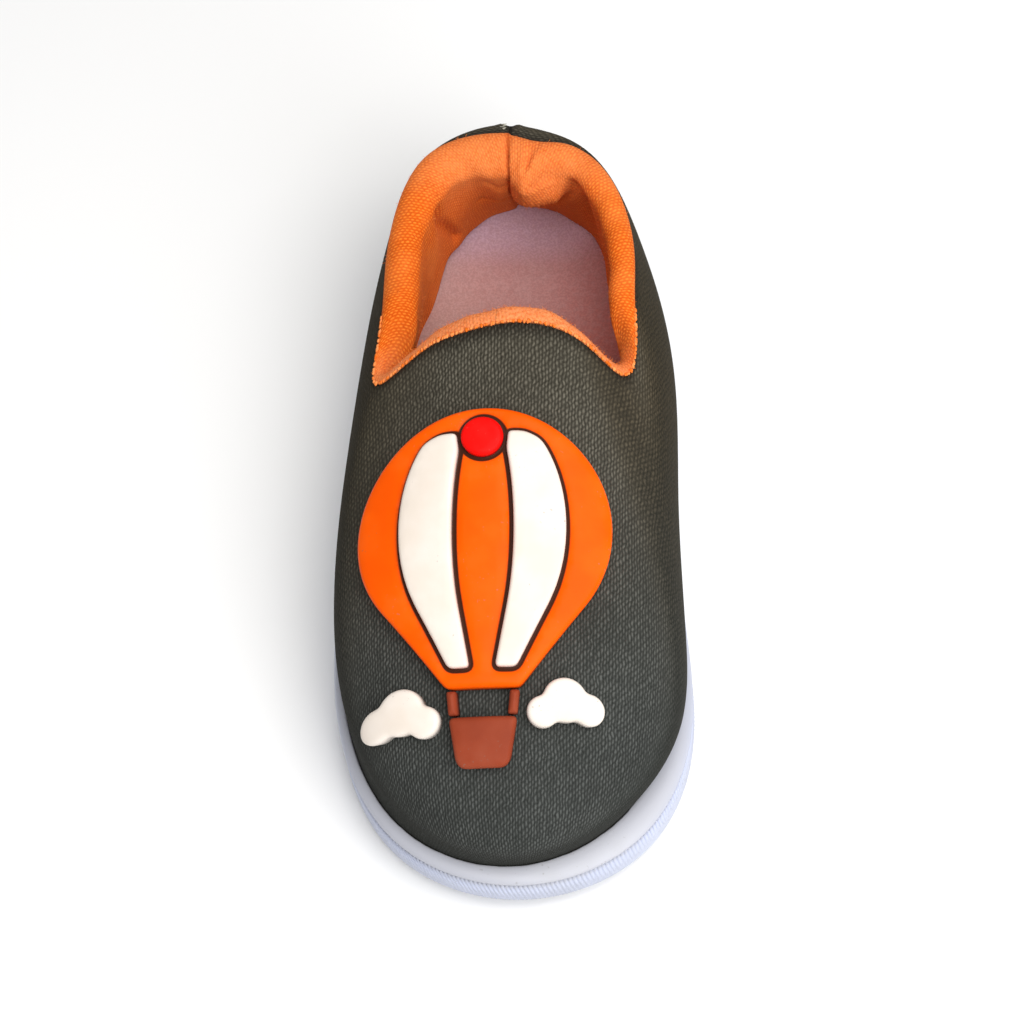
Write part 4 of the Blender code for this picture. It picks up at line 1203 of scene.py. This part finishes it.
# Height and slope of the vamp on a fine square grid, to lay the badge on
VAMP_STEP = 0.5
VAMP_HALF = 36
VAMP_FRONT = -70
VAMP_BACK = 20
ABOVE_SHOE = 100
vamp_x = np.arange(-VAMP_HALF, VAMP_HALF, VAMP_STEP)
vamp_y = np.arange(VAMP_FRONT, VAMP_BACK, VAMP_STEP)
vamp_points = upper_outer.reshape(-1, 3)
vamp_tree = BVHTree.FromPolygons(vamp_points.tolist(), ring_faces(*upper_outer.shape[:2], False))
vamp_z = np.zeros((len(vamp_x), len(vamp_y)))
for i, x in enumerate(vamp_x):
    for k, y in enumerate(vamp_y):
        hit = vamp_tree.ray_cast(Vector((x, y, ABOVE_SHOE)), Vector((0, 0, -1)))[0]
        vamp_z[i, k] = hit.z if hit else 0
vamp_slope_x, vamp_slope_y = np.gradient(vamp_z, VAMP_STEP)


def read_vamp(field, x, y):
    """A field of the vamp's grid, read between its places."""
    i = (x - vamp_x[0]) / VAMP_STEP
    k = (y - vamp_y[0]) / VAMP_STEP
    low_i = np.clip(np.floor(i).astype(int), 0, len(vamp_x) - 2)
    low_k = np.clip(np.floor(k).astype(int), 0, len(vamp_y) - 2)
    i = i - low_i
    k = k - low_k
    near = field[low_i, low_k] * (1 - k) + field[low_i, low_k + 1] * k
    far = field[low_i + 1, low_k] * (1 - k) + field[low_i + 1, low_k + 1] * k
    return near * (1 - i) + far * i


def over_vamp(places, heights):
    """Points a height over the vamp, measured square to it, for places of the badge."""
    x = BADGE_X + places[:, 0]
    y = BADGE_Y + places[:, 1]
    slopes = [-read_vamp(vamp_slope_x, x, y), -read_vamp(vamp_slope_y, x, y), np.ones_like(x)]
    normals = unit(np.stack(slopes, axis=-1))
    return np.stack([x, y, read_vamp(vamp_z, x, y)], axis=-1) + heights[:, None] * normals


def soften(outline, rounding):
    """A closed outline at even steps, with its corners rounded."""
    ringed = np.array([*outline, outline[0]])
    run = run_length(ringed)
    count = int(run[-1] / OUTLINE_STEP)
    even = read_along(np.arange(count) * run[-1] / count, run, ringed)
    for _ in range(max(1, round((rounding / OUTLINE_STEP) ** 2 * 2))):
        even = (np.roll(even, 1, axis=0) + 2 * even + np.roll(even, -1, axis=0)) / 4
    return even


def inside_distance(places, outline):
    """Distance from places to an outline, plus inside it and minus outside."""
    after = np.roll(outline, -1, axis=0)
    side = after - outline
    nearest = np.full(len(places), 1e9)
    crossings = np.zeros(len(places), dtype=int)
    for start, end, step in zip(outline, after, side):
        offset = places - start
        share = np.clip(offset @ step / (step @ step), 0, 1)
        nearest = np.minimum(nearest, np.linalg.norm(offset - share[:, None] * step, axis=1))
        spans = (start[1] > places[:, 1]) != (end[1] > places[:, 1])
        if step[1]:
            crossings += spans & (places[:, 0] < start[0] + step[0] * (places[:, 1] - start[1]) / step[1])
    return np.where(crossings % 2 == 1, nearest, -nearest)


def offset_line(outline, distance):
    """Points of an outline moved in by a distance, without those that end up nearer to another stretch."""
    along = np.roll(outline, -1, axis=0) - np.roll(outline, 1, axis=0)
    square = unit(np.stack([-along[:, 1], along[:, 0]], axis=-1))
    area = (outline[:, 0] * np.roll(outline[:, 1], -1) - np.roll(outline[:, 0], -1) * outline[:, 1]).sum()
    moved = outline + square * distance * math.copysign(1, area)
    astray = np.abs(np.abs(inside_distance(moved, outline)) - abs(distance))
    return moved[astray < OFFSET_SLACK * abs(distance) + 1e-6]


def badge_piece(name, outline, low, high, edge, material, inlays=()):
    """A moulded piece of the badge, laid on the vamp, with rounded edges and grooves round inlays."""
    count = len(outline)
    corner = np.arange(-VAMP_HALF, VAMP_HALF, FILL_STEP)
    fill = np.stack(np.meshgrid(corner, corner), axis=-1).reshape(-1, 2)
    spots = [fill[inside_distance(fill, outline) > edge + FILL_CLEAR]]
    spots += [offset_line(outline, edge * share) for share in EDGE_SHARES]
    for inlay in inlays:
        spots += [offset_line(inlay, offset) for offset in GROOVE_OFFSETS]
    flat = np.concatenate([outline, *spots])
    flat = flat[np.concatenate([np.full(count, True), inside_distance(flat[count:], outline) > SPOT_CLEAR])]
    rim = [(i, (i + 1) % count) for i in range(count)]
    places, _, triangles, *_ = delaunay_2d_cdt([Vector(place) for place in flat.tolist()], rim, [], 1, 1e-6)
    places = np.array([tuple(place) for place in places])
    depth = np.clip(np.maximum(inside_distance(places, outline), 0), 0, edge)
    height = high - edge + np.sqrt(np.maximum(edge**2 - (edge - depth) ** 2, 0))
    groove = np.zeros(len(places))
    for inlay in inlays:
        groove = np.maximum(groove, 1 - np.abs(inside_distance(places, inlay) + GROOVE_MIDDLE) / GROOVE_HALF)
    groove = np.clip(groove, 0, 1)
    height -= GROOVE_DEPTH * np.sqrt(groove)
    total = len(places)
    points = np.concatenate([over_vamp(places, height), over_vamp(places, np.full(total, low))])
    faces = [tuple(face) for face in triangles]
    faces += [tuple(total + i for i in face[::-1]) for face in triangles]
    faces += [(j, i, total + i, total + j) for i, j in rim]
    piece = add_mesh(name, points, faces, material)
    set_values(piece, "groove", np.concatenate([groove, groove]))
    return piece


def arc(middle, radius, start, end, step):
    """Points on a circle whose middle is on the badge's axis, from one angle to another, in degrees."""
    angles = np.radians(np.arange(start, end + step / 2, step))
    return [(radius * math.cos(a), middle + radius * math.sin(a)) for a in angles]


def envelope_half_width(q):
    """Half the width of the balloon at a height: a ball above, drawn in straight to its mouth below."""
    touch = ENVELOPE_CENTRE - ENVELOPE_RADIUS * math.sin(math.radians(ENVELOPE_TAPER_FROM))
    if q >= touch:
        return math.sqrt(max(ENVELOPE_RADIUS**2 - (q - ENVELOPE_CENTRE) ** 2, 0))
    widest = envelope_half_width(touch)
    share = (q - ENVELOPE_MOUTH) / (touch - ENVELOPE_MOUTH)
    return ENVELOPE_MOUTH_HALF + (widest - ENVELOPE_MOUTH_HALF) * share


def between_crown_and_margin(p, q):
    """A point of a gore, moved out of the groove round the crown and in from the balloon's outer margin."""
    grow_by = max((CROWN_RADIUS + CROWN_GROOVE) / math.hypot(p, q - CROWN_AT), 1)
    p, q = p * grow_by, CROWN_AT + (q - CROWN_AT) * grow_by
    shrink = min((ENVELOPE_RADIUS - GORE_MARGIN) / math.hypot(p, q - ENVELOPE_CENTRE), 1)
    return (p * shrink, ENVELOPE_CENTRE + (q - ENVELOPE_CENTRE) * shrink) if q > ENVELOPE_CENTRE else (p, q)


def gore_outline(side):
    """One raised panel of the balloon, between two seams that follow its outline."""
    top = ENVELOPE_CENTRE + ENVELOPE_RADIUS - GORE_MARGIN
    bottom = ENVELOPE_MOUTH + GORE_MARGIN
    heights = [bottom + (top - bottom) * math.sin(turn) for turn in np.linspace(0, math.pi / 2, 25)]
    below_crown = [q for q in heights if q < CROWN_AT + CROWN_GROOVE]
    inner = [between_crown_and_margin(side * GORE_INNER * envelope_half_width(q), q) for q in below_crown]
    outer = [between_crown_and_margin(side * GORE_OUTER * envelope_half_width(q), q) for q in heights]
    return inner + outer[::-1]


def rope_outline(side):
    top = (side * (ENVELOPE_MOUTH_HALF - ROPE_WIDTH), ENVELOPE_MOUTH - GAP)
    foot = (side * (BASKET_HALF_TOP - ROPE_WIDTH), BASKET_TOP + GAP)
    return [foot, (foot[0] + side * ROPE_WIDTH, foot[1]), (top[0] + side * ROPE_WIDTH, top[1]), top]


def basket_outline():
    return [
        (-BASKET_HALF_TOP, BASKET_TOP),
        (-BASKET_HALF_BOTTOM, BASKET_BOTTOM + BASKET_CHAMFER),
        (BASKET_CHAMFER - BASKET_HALF_BOTTOM, BASKET_BOTTOM),
        (BASKET_HALF_BOTTOM - BASKET_CHAMFER, BASKET_BOTTOM),
        (BASKET_HALF_BOTTOM, BASKET_BOTTOM + BASKET_CHAMFER),
        (BASKET_HALF_TOP, BASKET_TOP),
    ]


def cloud_outline(lobes):
    """The outer line round a row of overlapping discs, met from their common middle."""
    middle = np.mean([(p, q) for p, q, _ in lobes], axis=0)
    outline = []
    for angle in np.radians(np.arange(0, 360, 4)):
        ray = np.array([math.cos(angle), math.sin(angle)])
        far = 0.0
        for p, q, radius in lobes:
            offset = np.array([p, q]) - middle
            along = offset @ ray
            miss = offset @ offset - along**2
            if miss < radius**2:
                far = max(far, along + math.sqrt(radius**2 - miss))
        outline.append(tuple(middle + far * ray))
    return outline


def soft_plastic(name, deep, lit, scuff):
    """Satin moulded plastic between two shades, with handling marks and dark grooves."""
    material, tree, shader = new_material(name)
    marks = use_group(tree, marks_group, Patch_Size=9.0, Speck_Size=0.55)
    cloudy = noise(tree, object_place(tree), 110.0, 3.0)
    colour = blend_colours(tree, smooth_step(tree, cloudy, 0.3, 0.7), deep, lit)
    colour = blend_colours(tree, marks["Smudge"], colour, scuff, 0.16)
    colour = blend_colours(tree, marks["Speck"], colour, (0.20, 0.15, 0.12), 0.45)
    groove = smooth_step(tree, surface_value(tree, "groove"), 0.15, 0.5)
    colour = blend_colours(tree, groove, colour, (0.055, 0.018, 0.010))
    feed(tree, shader, "Base Color", colour)
    feed(tree, shader, "Roughness", smooth_step(tree, marks["Smudge"], 0.0, 1.0, 0.34, 0.5))
    feed(tree, shader, "Normal", bump(tree, noise(tree, object_place(tree), 900.0, 3.0), 0.06, 0.3))
    feed(tree, shader, "Specular IOR Level", 0.05)
    return material


# Deep, lit and scuffed shade of each colour that is poured
ORANGE_SHADES = ((0.95, 0.098, 0.001), (1.0, 0.120, 0.002), (0.85, 0.16, 0.03))
CREAM_SHADES = ((0.80, 0.71, 0.62), (0.87, 0.79, 0.72), (0.62, 0.55, 0.49))
BROWN_SHADES = ((0.25, 0.042, 0.018), (0.31, 0.056, 0.024), (0.30, 0.12, 0.08))
RED_SHADES = ((0.80, 0.004, 0.003), (0.90, 0.008, 0.006), (0.70, 0.06, 0.05))
badge_orange = soft_plastic("badge_orange_plastic", *ORANGE_SHADES)
badge_cream = soft_plastic("badge_cream_plastic", *CREAM_SHADES)
badge_brown = soft_plastic("badge_brown_plastic", *BROWN_SHADES)
badge_red = soft_plastic("badge_red_plastic", *RED_SHADES)

taper = ENVELOPE_TAPER_FROM
envelope_line = arc(ENVELOPE_CENTRE, ENVELOPE_RADIUS, -taper, 180 + taper, 2)
envelope_line += [(-ENVELOPE_MOUTH_HALF, ENVELOPE_MOUTH), (ENVELOPE_MOUTH_HALF, ENVELOPE_MOUTH)]
envelope_line = soften(envelope_line, 0.7)
lateral_gore_line = soften(gore_outline(-1), 0.6)
medial_gore_line = soften(gore_outline(1), 0.6)
crown_line = soften(arc(CROWN_AT, CROWN_RADIUS, 0, 350, 10), 0.3)
inlay_lines = (lateral_gore_line, medial_gore_line, crown_line)
flat_heights = (BADGE_FOOT, BADGE_TOP, BADGE_EDGE)
inlay_heights = (BADGE_TOP - GROOVE_DEPTH, INLAY_TOP, INLAY_EDGE)
rope_lines = [soften(rope_outline(side), 0.3) for side in (-1, 1)]
basket_line = soften(basket_outline(), 0.6)
cloud_lines = [soften(cloud_outline(lobes), 0.4) for lobes in (LATERAL_CLOUD, MEDIAL_CLOUD)]
# Columns: node, piece, outline, heights and rounding, plastic, outlines of the inlays it holds
badge_rows = (
    ("badge_envelope", "balloon_envelope", envelope_line, flat_heights, badge_orange, inlay_lines),
    ("badge_gore_lateral", "balloon_gore_lateral", lateral_gore_line, inlay_heights, badge_cream, ()),
    ("badge_gore_medial", "balloon_gore_medial", medial_gore_line, inlay_heights, badge_cream, ()),
    ("badge_crown", "balloon_crown", crown_line, inlay_heights, badge_red, ()),
    ("badge_rope_lateral", "rope_lateral", rope_lines[0], flat_heights, badge_brown, ()),
    ("badge_rope_medial", "rope_medial", rope_lines[1], flat_heights, badge_brown, ()),
    ("badge_basket", "basket", basket_line, flat_heights, badge_brown, ()),
    ("badge_cloud_lateral", "cloud_lateral", cloud_lines[0], flat_heights, badge_cream, ()),
    ("badge_cloud_medial", "cloud_medial", cloud_lines[1], flat_heights, badge_cream, ()),
)
for node_name, piece_name, outline, heights, plastic, inlays in badge_rows:
    piece = badge_piece(piece_name, outline, *heights, plastic, inlays)
    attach(piece, "root")
    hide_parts(node_name)

# Floor, light and camera
# A plain pale studio floor, a soft key light from above, a weaker one from the right and an even pale sky.
# The camera looks down on the toe as in the photograph. Distances here are in metres.
FLOOR_HALF = 2.0
VIEW_UP = 63.3
VIEW_TURN = 8.0
VIEW_ROLL = -8.1
VIEW_DISTANCE = 0.442
VIEW_LENS = 86.1
VIEW_AIM = (0.0, 0.0, 0.018)
VIEW_RAISE = -0.00108

floor_finish, tree, shader = new_material("pale_floor")
mottle = noise(tree, object_place(tree), 6.0, 3.0)
feed(tree, shader, "Base Color", blend_colours(tree, mottle, (0.90, 0.90, 0.90), (0.93, 0.93, 0.93)))
feed(tree, shader, "Roughness", 0.8)
corners = np.array([(-1, -1, 0), (1, -1, 0), (1, 1, 0), (-1, 1, 0)]) * FLOOR_HALF / MM
floor = add_mesh("floor", corners, [(0, 1, 2, 3)], floor_finish)


def add_light(name, place, aim, size, watts, colour):
    """A square soft light that points at an aim."""
    light = bpy.data.lights.new(name, "AREA")
    light.size = size
    light.energy = watts
    light.color = colour
    lamp = bpy.data.objects.new(name, light)
    lamp.location = place
    lamp.rotation_euler = (Vector(aim) - Vector(place)).to_track_quat("-Z", "Y").to_euler()
    bpy.context.scene.collection.objects.link(lamp)


add_light("key_light", (0.19, -0.16, 0.73), (0, 0, 0.02), 0.70, 6.6, (1.0, 0.98, 0.95))
add_light("side_light", (0.44, -0.52, 0.42), (0, 0, 0.01), 0.5, 2.4, (0.94, 0.97, 1.0))

sky = bpy.data.worlds.new("sky")
sky.use_nodes = True
sky.node_tree.nodes["Background"].inputs["Color"].default_value = (0.95, 0.97, 1.0, 1)
sky.node_tree.nodes["Background"].inputs["Strength"].default_value = 0.29
bpy.context.scene.world = sky
bpy.context.scene.view_settings.view_transform = "Standard"

up_angle = math.radians(VIEW_UP)
turn_angle = math.radians(VIEW_TURN)
roll_angle = math.radians(VIEW_ROLL)
flat_reach = math.cos(up_angle)
toward = Vector((math.sin(turn_angle) * flat_reach, -math.cos(turn_angle) * flat_reach, math.sin(up_angle)))
level_right = Vector((math.cos(turn_angle), math.sin(turn_angle), 0))
level_up = toward.cross(level_right)
right = math.cos(roll_angle) * level_right + math.sin(roll_angle) * level_up
upright = -math.sin(roll_angle) * level_right + math.cos(roll_angle) * level_up
camera = bpy.data.objects.new("camera", bpy.data.cameras.new("camera"))
camera.data.lens = VIEW_LENS
camera.data.clip_start = 0.01
camera_place = Vector(VIEW_AIM) + upright * VIEW_RAISE + toward * VIEW_DISTANCE
camera_turn = Matrix((right, upright, toward)).transposed().to_4x4()
camera.matrix_world = Matrix.Translation(camera_place) @ camera_turn
bpy.context.scene.collection.objects.link(camera)
bpy.context.scene.camera = camera
